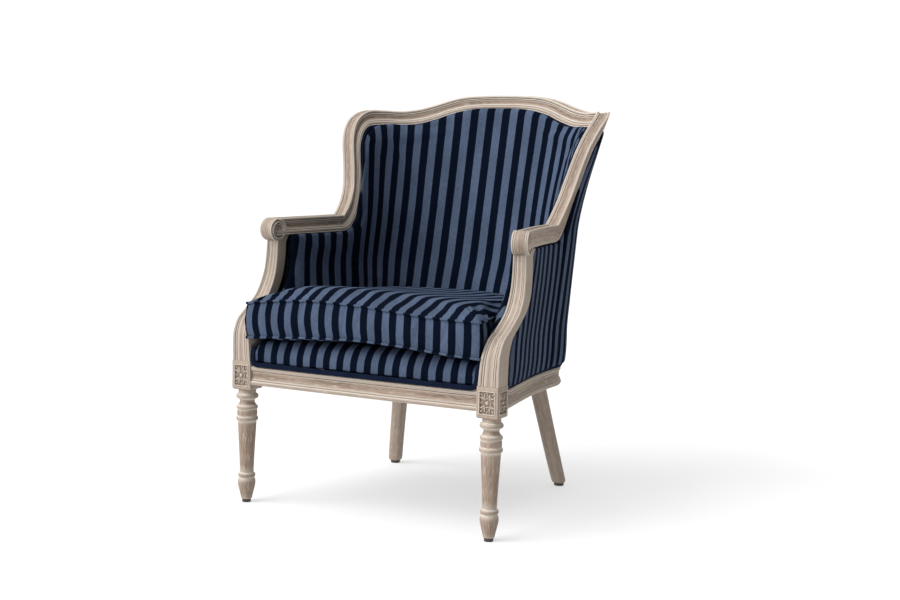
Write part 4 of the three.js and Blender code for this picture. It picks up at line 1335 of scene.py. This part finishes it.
@dataclass
class Covers:
    """The fixed covers: inside and outside of the back and arms."""

    finishes: Finishes
    edge_depth: float = -0.034  # where an inside cover meets the wood, under its welt
    lip: float = 0.005  # how far the cover rises over its welt
    lip_reach: float = 0.008
    crown: Pair = (0.006, 0.019)  # of the padding, high up and at the seat
    crown_change: Pair = (0.47, 0.10)  # height at which it begins to thin, and over how much it does
    roll: float = 0.045  # distance over which the padding swells
    tuck: float = 0.003  # gap between a cover's edge and the wood
    bottom: float = 0.336
    stretch: Pair = (1.33, 1.22)  # of the stripes across the inside back and arms
    outside_proud: float = 0.0015
    outside_swell: float = 0.003
    outside_sink: float = 0.0065  # deeper above the seat rails, within the frame
    sink_change: Pair = (0.01, 0.09)  # height over the rails at which it begins, and over how much it does
    outside_roll: float = 0.10
    thickness: Pair = (0.010, 0.008)  # of the inside and the outside covers
    arm_grid: tuple[int, int] = (42, 52)  # columns and rows
    tight: Stuffing = Stuffing(pressure=1.5, cap=0.0035, spare=0.004, frames=10)

    def inside_depth(self, distance: np.ndarray, z: np.ndarray) -> np.ndarray:
        """Depth of the inside covers at a distance from the wood and a height.

        Args:
            distance: from the nearest wood.
            z: the height.

        Returns:
            Depths in the tub, negative inwards.
        """
        lip = self.lip * np.clip(distance / self.lip_reach, 0, 1)
        start, change = self.crown_change
        crown = self.crown[1] + (self.crown[0] - self.crown[1]) * eased((z - start) / change)
        return self.edge_depth - lip - crown * np.sin(np.clip(distance / self.roll, 0, 1) * math.pi / 2)

    def outside_depth(self, distance: np.ndarray, z: np.ndarray) -> np.ndarray:
        """Depth of the outside covers at a distance from the wood and a height.

        Args:
            distance: from the nearest wood.
            z: the height.

        Returns:
            Depths in the tub, positive outwards.
        """
        swell = self.outside_swell * np.sin(np.clip(distance / self.outside_roll, 0, 1) * math.pi / 2)
        start, change = self.sink_change
        return self.outside_proud + swell - self.outside_sink * eased((z - self.bottom - start) / change)

    def back_places(self, columns: int, rows: int, tuck: float) -> tuple[np.ndarray, np.ndarray, np.ndarray]:
        """Places (s, z) over the back and their distances from the wood.

        Args:
            columns: places across.
            rows: places up.
            tuck: gap between the cover and the wood.

        Returns:
            Places s, heights and distances from the wood, in rows and columns.
        """
        side = np.linspace(-1, 1, columns)[None, :]
        share = np.linspace(0, 1, rows)[:, None]
        widest = LINES.stile_rear[7][0]
        top = LINES.under_crest(side * widest) - tuck
        z = self.bottom + (top - self.bottom) * share
        elbow = TUB.arm_top - TUB.arm_depth
        blend = eased((z - elbow) / 0.03)
        s = side * (LINES.beside_stile(z) - tuck * blend + 1 * MM * (1 - blend))  # closed under the elbow
        below = LINES.under_crest(s) - z
        aside = np.where(z > elbow, LINES.beside_stile(z) - np.abs(s), self.roll * 2)
        aside = aside * blend + self.roll * 2 * (1 - blend)
        return s, z, np.minimum(below, aside)

    def arm_places(self, columns: int, rows: int, tuck: float,
                   n: float) -> tuple[np.ndarray, np.ndarray, np.ndarray]:
        """Places (s, z) over the right arm and their distances from the wood.

        Args:
            columns: places across.
            rows: places up.
            tuck: gap between the cover and the wood.
            n: the depth of its edge beside the post.

        Returns:
            Places s, heights and distances from the wood, in rows and columns.
        """
        seam = LINES.pad_seam + 1.5 * MM
        under = TUB.arm_top - TUB.arm_depth - LINES.arm_fall
        level = seam + (LINES.beside_post(under, n) - seam) * np.linspace(0, 1, columns)
        top = LINES.under_arm(level) - tuck
        share = np.linspace(0, 1, rows)[:, None]
        z = self.bottom + (top[None] - self.bottom) * share
        ends = np.vectorize(lambda height: LINES.beside_post(height, n))(z)
        s = seam + (ends - tuck - seam) * np.linspace(0, 1, columns)[None]
        return s, z, np.minimum(LINES.under_arm(s) - z, ends - s)

    def sheet(self, s: np.ndarray, z: np.ndarray, depth: np.ndarray, name: str, flip: bool,
              stretch: float = 1.0) -> bpy.types.Object:
        """An open cover through places on the tub, its stripes upright and stretched apart.

        Args:
            s: places round the tub.
            z: heights.
            depth: depths.
            name: the name of the piece.
            flip: whether it faces the sitter.
            stretch: how much wider than woven its stripes are.

        Returns:
            The piece.
        """
        bm = carried(TUB.at(s, z, depth), np.stack([s / stretch, z], axis=-1), WEAVE, closed=False)
        if flip:
            bmesh.ops.reverse_faces(bm, faces=bm.faces)
        return piece_of(soft(bm), name, self.finishes.stripe)

    @staticmethod
    def rim(piece: bpy.types.Object) -> list[int]:
        """The vertices on the open edge of a cover.

        Args:
            piece: the cover.

        Returns:
            Their indices.
        """
        bm = bmesh.new()
        bm.from_mesh(piece.data)
        found = [vertex.index for vertex in bm.verts if vertex.is_boundary]
        bm.free()
        return found

    def build(self) -> None:
        """All the fixed covers."""
        inner, outer = self.thickness
        s, z, away = self.back_places(110, 74, self.tuck)
        back = self.sheet(s, z, self.inside_depth(away, z), "inside_back_cover", True, self.stretch[0])
        s, z, away = self.arm_places(*self.arm_grid, self.tuck, self.edge_depth)
        arm = self.sheet(s, z, self.inside_depth(away, z), "inside_arm_cover_right", True, self.stretch[1])
        for cover in (back, arm):
            self.tight.plump(cover, self.rim(cover))
            refine(cover, inner)
        settle(back, "striped_fabric", "inside_back_pad")
        settle_pair(arm, "striped_fabric", "inside_arm_pad", fill=0.85)
        s, z, away = self.back_places(110, 60, self.tuck)
        away = np.minimum(away, z - self.bottom)
        back = self.sheet(s, z, self.outside_depth(away, z), "outside_back_cover", False)
        refine(back, outer)
        settle(back, "striped_fabric", "outside_back_panel")
        s, z, away = self.arm_places(*self.arm_grid, self.tuck, 0.0)
        away = np.minimum(away, z - self.bottom)
        arm = self.sheet(s, z, self.outside_depth(away, z), "outside_arm_cover_right", False)
        refine(arm, outer)
        settle_pair(arm, "striped_fabric", "outside_arm_panel", fill=0.9)


@dataclass
class Welts:
    """Double navy welts along every edge where a cover meets the wood."""

    finishes: Finishes
    cord: float = 0.0030  # radius of each of the two cords
    inset: float = 0.0060  # middle of the welt from the wood beside it
    inside: float = -0.0428  # depth of the inside welts
    outside: float = 0.0008
    outside_sink: float = 0.0035  # of the outside welts above the seat rails
    spacing: float = 0.004

    def sweep(self, line: np.ndarray, outward: np.ndarray, name: str) -> bpy.types.Object:
        """A double cord along a line, its flat side on the cover.

        Args:
            line: points along the middle of the welt.
            outward: the way out of the cover at each.
            name: the piece's name.

        Returns:
            The piece.
        """
        tangent = np.gradient(line, axis=0)
        tangent /= np.linalg.norm(tangent, axis=1)[:, None]
        side = np.cross(tangent, outward)
        side /= np.linalg.norm(side, axis=1)[:, None]
        out = np.cross(side, tangent)
        angles = np.radians(np.linspace(-150, 120, 10))
        lobe = np.stack([np.cos(angles), np.sin(angles)], 1)
        section = np.vstack([lobe + [0.93, 0], (lobe * [-1, 1])[::-1] + [-0.93, 0]]) * self.cord
        rings = line[:, None] + section[None, :, :1] * side[:, None] + section[None, :, 1:] * out[:, None]
        closed = np.concatenate([rings, rings[:, :1]], axis=1)
        bm = carried(closed, np.stack(ring_lengths(closed), -1), WEAVE)
        return piece_of(soft(bm), name, self.finishes.welt)

    def along(self, places: np.ndarray, depth: float, way: float, name: str) -> bpy.types.Object:
        """A welt through places (s, z) of the tub, at a depth, facing in (way -1) or out (way 1).

        Args:
            places: (s, z) along the welt.
            depth: how deep it lies.
            way: -1 to face in, 1 to face out.
            name: the name of the piece.

        Returns:
            The piece.
        """
        even = evenly(places, self.spacing)
        line = TUB.at(even[:, 0], even[:, 1], depth)
        outward = (TUB.at(even[:, 0], even[:, 1], depth + 0.01) - line) * way * 100
        return self.sweep(line, outward, name)

    def inset_line(self, edge: np.ndarray) -> np.ndarray:
        """A line inside an edge of the wood, by the inset, on its right hand.

        Args:
            edge: (s, z) along the wood.

        Returns:
            The line, in the same form.
        """
        step = np.gradient(edge, axis=0)
        step /= np.linalg.norm(step, axis=1)[:, None]
        return edge + np.stack([step[:, 1], -step[:, 0]], 1) * self.inset

    def build(self) -> None:
        """All the welts."""
        stile = LINES.cover_edge
        above = stile[stile[:, 1] > TUB.arm_top - TUB.arm_depth + 1 * MM]
        half = self.inset_line(above)
        both = np.vstack([half[::-1] * [-1, 1], half[1:]])
        under_z = TUB.arm_top - TUB.arm_depth - LINES.arm_fall
        for name, depth, way in (("inside", self.inside, -1.0), ("outside", self.outside, 1.0)):
            depth -= self.outside_sink if way > 0 else 0
            settle(self.along(both, depth, way, f"{name}_back_double_welt"), "navy_welt", f"{name}_back_welt")
            post_top = LINES.beside_post(under_z - 0.02, depth) - self.inset
            level = np.linspace(half[-1, 0], post_top - 0.010, 40)
            top = np.stack([level, LINES.under_arm(level) - self.inset], 1)
            drop = np.linspace(under_z - self.inset - 0.012, TUB.rail_top + self.inset, 60)
            down = np.stack([[LINES.beside_post(z, depth) - self.inset for z in drop], drop], 1)
            corner = curve([tuple(top[-6]), tuple(top[-1]), tuple((top[-1] + down[0]) / 2 + [0.002, 0.002]),
                            tuple(down[0]), tuple(down[5])], 40)[10:31]
            path = np.vstack([half[-1:], top[1:-1], corner, down[1:]])
            welt = self.along(path, depth, way, f"{name}_arm_double_welt_right")
            settle_pair(welt, "navy_welt", f"{name}_arm_welt")
        z = TUB.rail_top + self.inset
        end = TUB.reach(TUB.block_rear + 2 * MM, z)
        base = np.stack([np.linspace(-end, end, 200), np.full(200, z)], 1)
        settle(self.along(base, self.outside, 1.0, "base_double_welt"), "navy_welt", "outside_base_welt")


@dataclass
class Seat:
    """The sprung deck with its rolled front, and the loose cushion."""

    finishes: Finishes
    deck_top: float = 0.394
    deck_bottom: float = 0.334
    side_gap: float = 0.0015
    well: float = -0.058  # depth of the inside covers round the seat
    narrowing: float = 0.030  # length over which the sides leave the blocks and meet the covers
    nose: float = 0.052  # depth of the rolled edge, front to back
    nose_rows: int = 22
    nose_start: float = -18.0  # degrees from level
    nose_swell: float = 0.7  # share of the deck's height that the rolled edge takes up
    nose_power: float = 0.9  # of its section
    side_drop: Pair = (0.35, 0.02)  # share of its height that the deck falls at its sides, and over what
    welt_turn: Pair = (0.014, 0.040)  # bend and height of the front welt's upturned ends
    welt_lean: float = 0.010  # how far they lean back
    cushion_half: float = 0.2935
    cushion_front: float = -0.376
    heart: Pair = (0, -0.08)  # the place in its plan that its border bulges away from
    ears: Pair = (0.010, 0.003)  # how far its front corners stand out, left and right
    ear_reach: float = 0.035  # and how far back
    squareness: float = 8.0  # power of the corners
    front_bow: float = 0.006  # how far the front falls back at its corners
    seam_low: float = 0.4005
    seam_high: float = 0.4750
    crown: float = 0.027  # of the top over its seam
    belly: float = 0.006  # of the bottom under its seam
    fullness: float = 0.55  # power of both domes
    bulge: float = 0.006  # of the border
    piping: float = 0.0028  # radius
    arch_reach: float = 0.30  # how far back the arch of the front seams is felt
    right_sink: float = 0.7  # how much more the top sinks on the right
    sink_across: Pair = (0.02, 0.24)  # where that begins, and over how much it does
    sink_along: Pair = (-0.32, 0.36)  # where the top begins to sink, and over how much it does
    sink: float = 0.014  # of the top towards the back, where it has been sat on
    creases: tuple[tuple[float, float, float, float], ...] = (  # x, lean, depth and width in mm
        (-0.035, 0.004, 3.0, 6.0), (-0.015, -0.012, -2.0, 7.0), (-0.150, 0.010, 1.6, 8.0),
        (0.075, -0.022, 2.0, 8.0), (0.150, 0.030, 2.2, 9.0), (0.215, 0.026, 2.6, 8.0),
        (0.245, -0.030, 2.0, 8.0), (-0.245, -0.016, 1.8, 8.0),
    )
    rise_high: tuple[Pair, ...] = (
        (-0.30, 0), (-0.24, 9), (-0.17, 15), (-0.10, 18), (0, 15), (0.10, 8), (0.20, 2), (0.30, 0))
    rise_low: tuple[Pair, ...] = (
        (-0.30, -5), (-0.20, 3), (-0.10, 9), (0, 12), (0.10, 9), (0.20, 2), (0.30, -4))

    @property
    def half(self) -> float:
        """Half of the width between the blocks, with its gaps."""
        return TUB.block_outer - TUB.block - GAP - self.side_gap

    def rear_line(self, half: float, corner: float, z: float, depth: float, columns: int) -> np.ndarray:
        """The plan's sides and rear, from the left block round inside the covers to the right one.

        Args:
            half: half of the width between the blocks.
            corner: where the plan leaves the blocks.
            z: its height.
            depth: its depth in the tub.
            columns: how many places to return.

        Returns:
            Rows of (x, y).
        """
        end = TUB.reach(corner, z, depth)
        side = crowded(columns)
        inside = TUB.at(side * end, z, depth)[:, :2]
        beside = np.stack([np.sign(side) * half, np.full(columns, corner)], 1)
        share = np.minimum(1, end * (1 - np.abs(side)) / self.narrowing)[:, None]
        return beside + (inside - beside) * share

    def deck(self) -> None:
        """The deck: one cover from the front rail over the rolled edge to the back."""
        columns, rows = 90, 44
        rear = self.rear_line(self.half, TUB.block_rear + 2 * MM, self.deck_bottom, self.well, columns)
        x = self.half * crowded(columns)
        front = Rails.face(x, self.half) + 3 * MM
        height = self.deck_top - self.deck_bottom
        drop, drop_width = self.side_drop
        beside = 1 - np.clip((self.half - np.abs(x)) / drop_width, 0, 1)
        points, uv = np.zeros((rows, columns, 3)), np.zeros((rows, columns, 2))
        along = np.zeros(columns)
        for i in range(rows):
            if i <= self.nose_rows:
                angle = math.radians(self.nose_start + (90 - self.nose_start) * i / self.nose_rows)
                ahead = self.nose * (1 - math.cos(angle) ** self.nose_power)
                rise = 1 - self.nose_swell + self.nose_swell * math.sin(angle)
                z = self.deck_bottom + height * max(0, rise)
                place = np.stack([x, front + ahead, np.full(columns, z)], 1)
            else:
                start = np.stack([x, front + self.nose], 1)
                plan = start + (rear - start) * ((i - self.nose_rows) / (rows - 1 - self.nose_rows))
                place = np.column_stack([plan, np.full(columns, self.deck_top)])
            place[:, 2] = self.deck_bottom + (place[:, 2] - self.deck_bottom) * (1 - drop * beside**2)
            if i:
                along += np.linalg.norm(place - points[i - 1], axis=1)
            points[i], uv[i] = place, np.stack([place[:, 0], along], 1)
        bm = carried(points, uv, WEAVE, closed=False)
        deck = piece_of(soft(bm), "seat_deck_cover", self.finishes.stripe)
        Stuffing(pressure=1.5, cap=0.004, frames=8).plump(deck, Covers.rim(deck))
        refine(deck, 0.012)
        settle(deck, "striped_fabric", "seat_deck")

    def front_welt(self) -> None:
        """The welt along the front of the deck, turned up at both ends."""
        welts = Welts(self.finishes)
        level = TUB.rail_top + welts.inset - 1 * MM
        bend, up = self.welt_turn
        turn = np.linspace(0, math.pi / 2, 12)
        ends = self.half - 1 * MM
        corner = np.stack([ends - bend + bend * np.sin(turn), level + bend - bend * np.cos(turn)], 1)
        side = np.vstack([corner, [(ends, level + up)]])
        path = evenly(np.vstack([side[::-1] * [-1, 1], side]), welts.spacing)
        rise = (path[:, 1] - level) / up
        y = Rails.face(path[:, 0], self.half) - 2 * MM + self.welt_lean * rise
        line = np.stack([path[:, 0], y, path[:, 1]], 1)
        outward = np.tile([0.0, -1.0, 0.0], (len(line), 1))
        settle(welts.sweep(line, outward, "deck_front_double_welt"), "navy_welt", "deck_front_welt")

    def dust_cover(self) -> None:
        """The black cloth stretched under the seat, inside the rails."""
        columns, rows = 60, 40
        z = TUB.rail_bottom + 2 * MM
        inside = Rails.thickness + 1.5 * MM
        rear = self.rear_line(self.half, TUB.block_rear + 2 * MM, z, -inside, columns)
        ahead = TUB.front_face + TUB.rail_setback + inside
        front = np.stack([self.half * crowded(columns), np.full(columns, ahead)], 1)
        plan = front[None] + (rear - front)[None] * np.linspace(0, 1, rows)[:, None, None]
        sag = dome(columns, rows) * 1.5 * MM
        bm = soft(carried(np.dstack([plan, z - sag]), plan, WEAVE, closed=False))
        area = sum(face.calc_area() for face in bm.faces)
        piece = piece_of(bm, "stretched_dust_cover", self.finishes.cambric)
        settle(piece, "black_cambric", "dust_cover")

    def cushion_ring(self, columns: int, rows: int) -> tuple[np.ndarray, np.ndarray]:
        """The cushion's plan as a grid of places.

        Args:
            columns: places across.
            rows: places from front to rear.

        Returns:
            The plan, and the share of the crown at each place.
        """
        level, apart = 0.42, 4 * MM
        rear = self.rear_line(self.cushion_half, TUB.block_rear + apart, level, self.well - apart, columns)
        across = crowded(columns)
        cornered = np.abs(across) ** self.squareness
        front = np.stack([across * self.cushion_half, np.full(columns, self.cushion_front)], 1)
        front[:, 1] += self.front_bow * cornered
        t = 0.5 - 0.5 * np.cos(np.pi * np.linspace(0, 1, rows))[:, None, None]
        plan = front[None] + (rear - front)[None] * t
        ears = np.where(across < 0, -self.ears[0], self.ears[1]) * cornered
        plan[..., 0] += ears * (1 - eased((plan[..., 1] - self.cushion_front) / self.ear_reach))
        return plan, dome(columns, rows) ** self.fullness

    def lift(self, x: np.ndarray, y: np.ndarray, share: np.ndarray | float) -> np.ndarray:
        """How far the cushion arches up at a place, and a share of the way between its seams.

        Args:
            x: across.
            y: front to rear.
            share: 0 at the lower seam and 1 at the upper.

        Returns:
            The rise.
        """
        low, high = (MM * np.interp(x, *curve(line, 120).T) for line in (self.rise_low, self.rise_high))
        ahead = 1 - eased((y - self.cushion_front) / self.arch_reach)
        across, along = (eased((value - start) / change) for value, (start, change) in (
            (x, self.sink_across), (y, self.sink_along)))
        sink = self.sink * (1 + self.right_sink * across) * along
        return (low + (high - low) * share) * ahead - sink * share

    def crease(self, x: np.ndarray, share: np.ndarray) -> np.ndarray:
        """Depth of the folds in the front border at x and a share of its height.

        Args:
            x: across.
            share: of the height of the border.

        Returns:
            The depths.
        """
        depth = np.zeros(np.broadcast(x, share).shape)
        for start, lean, deep, wide in self.creases:
            depth += deep * MM * np.exp(-(((x - start - lean * (share - 0.5)) / (wide * MM)) ** 2))
        return depth * np.sin(np.pi * share) ** 0.7

    def cushion(self) -> None:
        """The boxed cushion: top, border and bottom, sewn over piping of the same stripe."""
        columns, rows, border = 130, 84, 15
        plan, arch = self.cushion_ring(columns, rows)
        ring = [(0, j) for j in range(columns)] + [(i, columns - 1) for i in range(1, rows)]
        ring += [(rows - 1, j) for j in range(columns - 2, -1, -1)]
        ring += [(i, 0) for i in range(rows - 2, -1, -1)]
        edge = np.array([plan[i, j] for i, j in ring])
        steps = np.linalg.norm(np.diff(edge, axis=0), axis=1)
        around = plan[0, 0, 0] + np.concatenate([[0], np.cumsum(steps)])
        share = np.linspace(0, 1, border)[:, None]
        level = self.seam_low + (self.seam_high - self.seam_low) * share
        out = edge - self.heart
        out /= np.linalg.norm(out, axis=1)[:, None]
        wall = np.empty((border, len(ring), 3))
        ahead = edge[:, 1] < self.cushion_front + 8 * MM
        fold = self.crease(edge[:, 0], share) * ahead
        wall[..., :2] = edge + out * (self.bulge * np.sin(np.pi * share) - fold)[..., None]
        wall[..., 2] = level + self.lift(edge[:, 0], edge[:, 1], share)
        bm = carried(wall, np.stack(np.broadcast_arrays(around[None], level), -1), WEAVE, closed=False)
        tracks = []
        for seam, swell, share in ((self.seam_high, self.crown, 1), (self.seam_low, -self.belly, 0)):
            height = seam + self.lift(plan[..., 0], plan[..., 1], share) + swell * arch
            places = np.dstack([plan, height])
            tracks.append(np.array([places[i, j] for i, j in ring]))
            absorb(bm, carried(places, plan, WEAVE, closed=False))
        bmesh.ops.remove_doubles(bm, verts=bm.verts, dist=10 * MERGE)
        bmesh.ops.recalc_face_normals(bm, faces=bm.faces)
        soft(bm)
        bm.verts.index_update()
        kept = {tuple(np.round(place, 5)) for track in tracks for place in track}
        pinned = [vertex.index for vertex in bm.verts if tuple(np.round(vertex.co, 5)) in kept]
        cushion = piece_of(bm, "boxed_cushion", self.finishes.stripe)
        Stuffing(pressure=3.0, cap=0.008, frames=16).plump(cushion, pinned)
        refine(cushion)
        settle(cushion, "striped_fabric", "seat_cushion", body=Body.CUSHION)
        for name, track in zip(("top", "bottom"), tracks):
            self.pipe(track, around, f"cushion_piping_{name}")

    def pipe(self, line: np.ndarray, around: np.ndarray, name: str) -> None:
        """Piping along a seam of the cushion, its stripes in step with the border's.

        Args:
            line: the seam, its last point on its first.
            around: distance round the border of each point.
            name: the piece's name.
        """
        tangent = np.roll(line, -1, axis=0) - np.roll(line, 1, axis=0)
        tangent[0] = tangent[-1] = line[1] - line[-2]
        tangent /= np.linalg.norm(tangent, axis=1)[:, None]
        up = np.array([0.0, 0.0, 1.0])
        out = np.cross(tangent, up)
        angles = np.linspace(0, 2 * math.pi, 13)
        middle = line + out * self.piping * 0.8
        rings = middle[:, None] + self.piping * (np.cos(angles)[None, :, None] * out[:, None]
                                                 + np.sin(angles)[None, :, None] * up)
        uv = np.stack(np.broadcast_arrays(around[:, None], self.piping * angles[None]), -1)
        piece = piece_of(soft(carried(rings, uv, WEAVE)), name, self.finishes.stripe)
        settle(piece, "striped_fabric", body=Body.CUSHION)


# ---- Hidden pieces, the stage and the camera ---------------------------------------------------


def dress_frame_nodes(frame: dict, finishes: Finishes) -> None:
    """Gives the pieces that stay as the frame has them their finishes.

    Args:
        frame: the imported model.
        finishes: the materials.
    """
    words = {"glide": finishes.nylon, "webbing": finishes.jute, "dust": finishes.cambric}
    for name, node in frame["nodes"].items():
        finish = next((material for word, material in words.items() if word in name), finishes.beech)
        node.data.materials.clear()
        node.data.materials.append(finish)


@dataclass
class Studio:
    """A white floor and backdrop, soft light from the front left, and the camera."""

    eye: Triple = (1.6304, -3.0540, 0.8360)
    target: Triple = (0.0, 0.032, 0.472)
    roll: float = 1.3  # degrees
    lens: float = 57.1  # mm, on a 36 mm sensor
    shift: Pair = (0.00575, -0.00102)
    floor_light: Pair = (0.42, 0.54)  # albedo and glow
    backdrop_light: Pair = (0.0, 1.04)
    suns: tuple[tuple[str, Triple, float, float], ...] = (  # name, place, degrees wide, power
        ("key", (-2.3, -2.8, 2.4), 50, 3.3), ("top", (-0.3, -0.6, 3.0), 60, 1.7))
    sky: float = 0.22

    @staticmethod
    def paper(name: str, albedo: float, glow: float) -> bpy.types.Material:
        """White paper that is lit a little from behind.

        Args:
            name: of the material.
            albedo: how much light it gives back.
            glow: how much it gives off.

        Returns:
            The material.
        """
        graph = Graph(name, 0.9, Emission_Strength=glow, Specular_IOR_Level=0.0)
        graph.shader.inputs["Base Color"].default_value = (albedo, albedo, albedo, 1)
        graph.shader.inputs["Emission Color"].default_value = (1, 1, 1, 1)
        return graph.material

    def floor(self) -> None:
        """A wide white floor, and white paper behind the chair."""
        bm = bmesh.new()
        bmesh.ops.create_grid(bm, x_segments=1, y_segments=1, size=9)
        piece_of(bm, "studio_floor", self.paper("floor_paper", *self.floor_light))
        bm = bmesh.new()
        bmesh.ops.create_grid(bm, x_segments=1, y_segments=1, size=8)
        away = (Vector(self.target) - Vector(self.eye)) * Vector((1, 1, 0))
        turn = away.to_track_quat("-Z", "Y").to_matrix().to_4x4()
        bmesh.ops.transform(bm, matrix=Matrix.Translation(away.normalized() * 7) @ turn, verts=bm.verts)
        piece_of(bm, "studio_backdrop", self.paper("backdrop_paper", *self.backdrop_light))

    @staticmethod
    def sun(name: str, place: Triple, angle: float, power: float) -> None:
        """A soft distant light.

        Args:
            name: its name.
            place: the way it shines from.
            angle: how wide it is, in degrees.
            power: its strength.
        """
        data = bpy.data.lights.new(name, "SUN")
        data.angle = math.radians(angle)
        data.energy = power
        lamp = bpy.data.objects.new(name, data)
        lamp.location = place
        lamp.rotation_euler = (-Vector(place)).to_track_quat("-Z", "Y").to_euler()
        bpy.context.scene.collection.objects.link(lamp)

    def camera(self) -> None:
        """The camera, level apart from its roll."""
        data = bpy.data.cameras.new("camera")
        data.lens = self.lens
        data.sensor_width = 36
        data.shift_x, data.shift_y = self.shift
        camera = bpy.data.objects.new("camera", data)
        ahead = (Vector(self.target) - Vector(self.eye)).normalized()
        right = ahead.cross(Vector((0, 0, 1))).normalized()
        up = right.cross(ahead)
        angle = math.radians(self.roll)
        tilted = right * math.cos(angle) + up * math.sin(angle)
        above = up * math.cos(angle) - right * math.sin(angle)
        turn = Matrix((tilted, above, -ahead)).transposed().to_4x4()
        camera.matrix_world = Matrix.Translation(self.eye) @ turn
        bpy.context.scene.collection.objects.link(camera)
        bpy.context.scene.camera = camera

    def build(self) -> None:
        """Everything that is not the chair."""
        self.camera()
        self.floor()
        for sun in self.suns:
            self.sun(*sun)
        world = bpy.data.worlds.new("studio")
        world.use_nodes = True
        light = world.node_tree.nodes["Background"].inputs
        light["Color"].default_value = (1, 1, 1, 1)
        light["Strength"].default_value = self.sky
        bpy.context.scene.world = world
        bpy.context.scene.view_settings.view_transform = "Standard"


def main() -> None:
    """Builds the chair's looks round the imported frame."""
    logging.basicConfig(level=logging.INFO, format="%(message)s")
    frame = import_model()
    Studio().build()
    finishes = Finishes()
    dress_frame_nodes(frame, finishes)
    show = ShowFrame(finishes)
    show.crest()
    show.stiles()
    show.arms()
    Posts(finishes).build()
    Rails(finishes).build()
    Legs(finishes).build()
    Covers(finishes).build()
    Welts(finishes).build()
    seat = Seat(finishes)
    seat.deck()
    seat.front_welt()
    seat.dust_cover()
    seat.cushion()


if __name__ == "__main__":
    main()
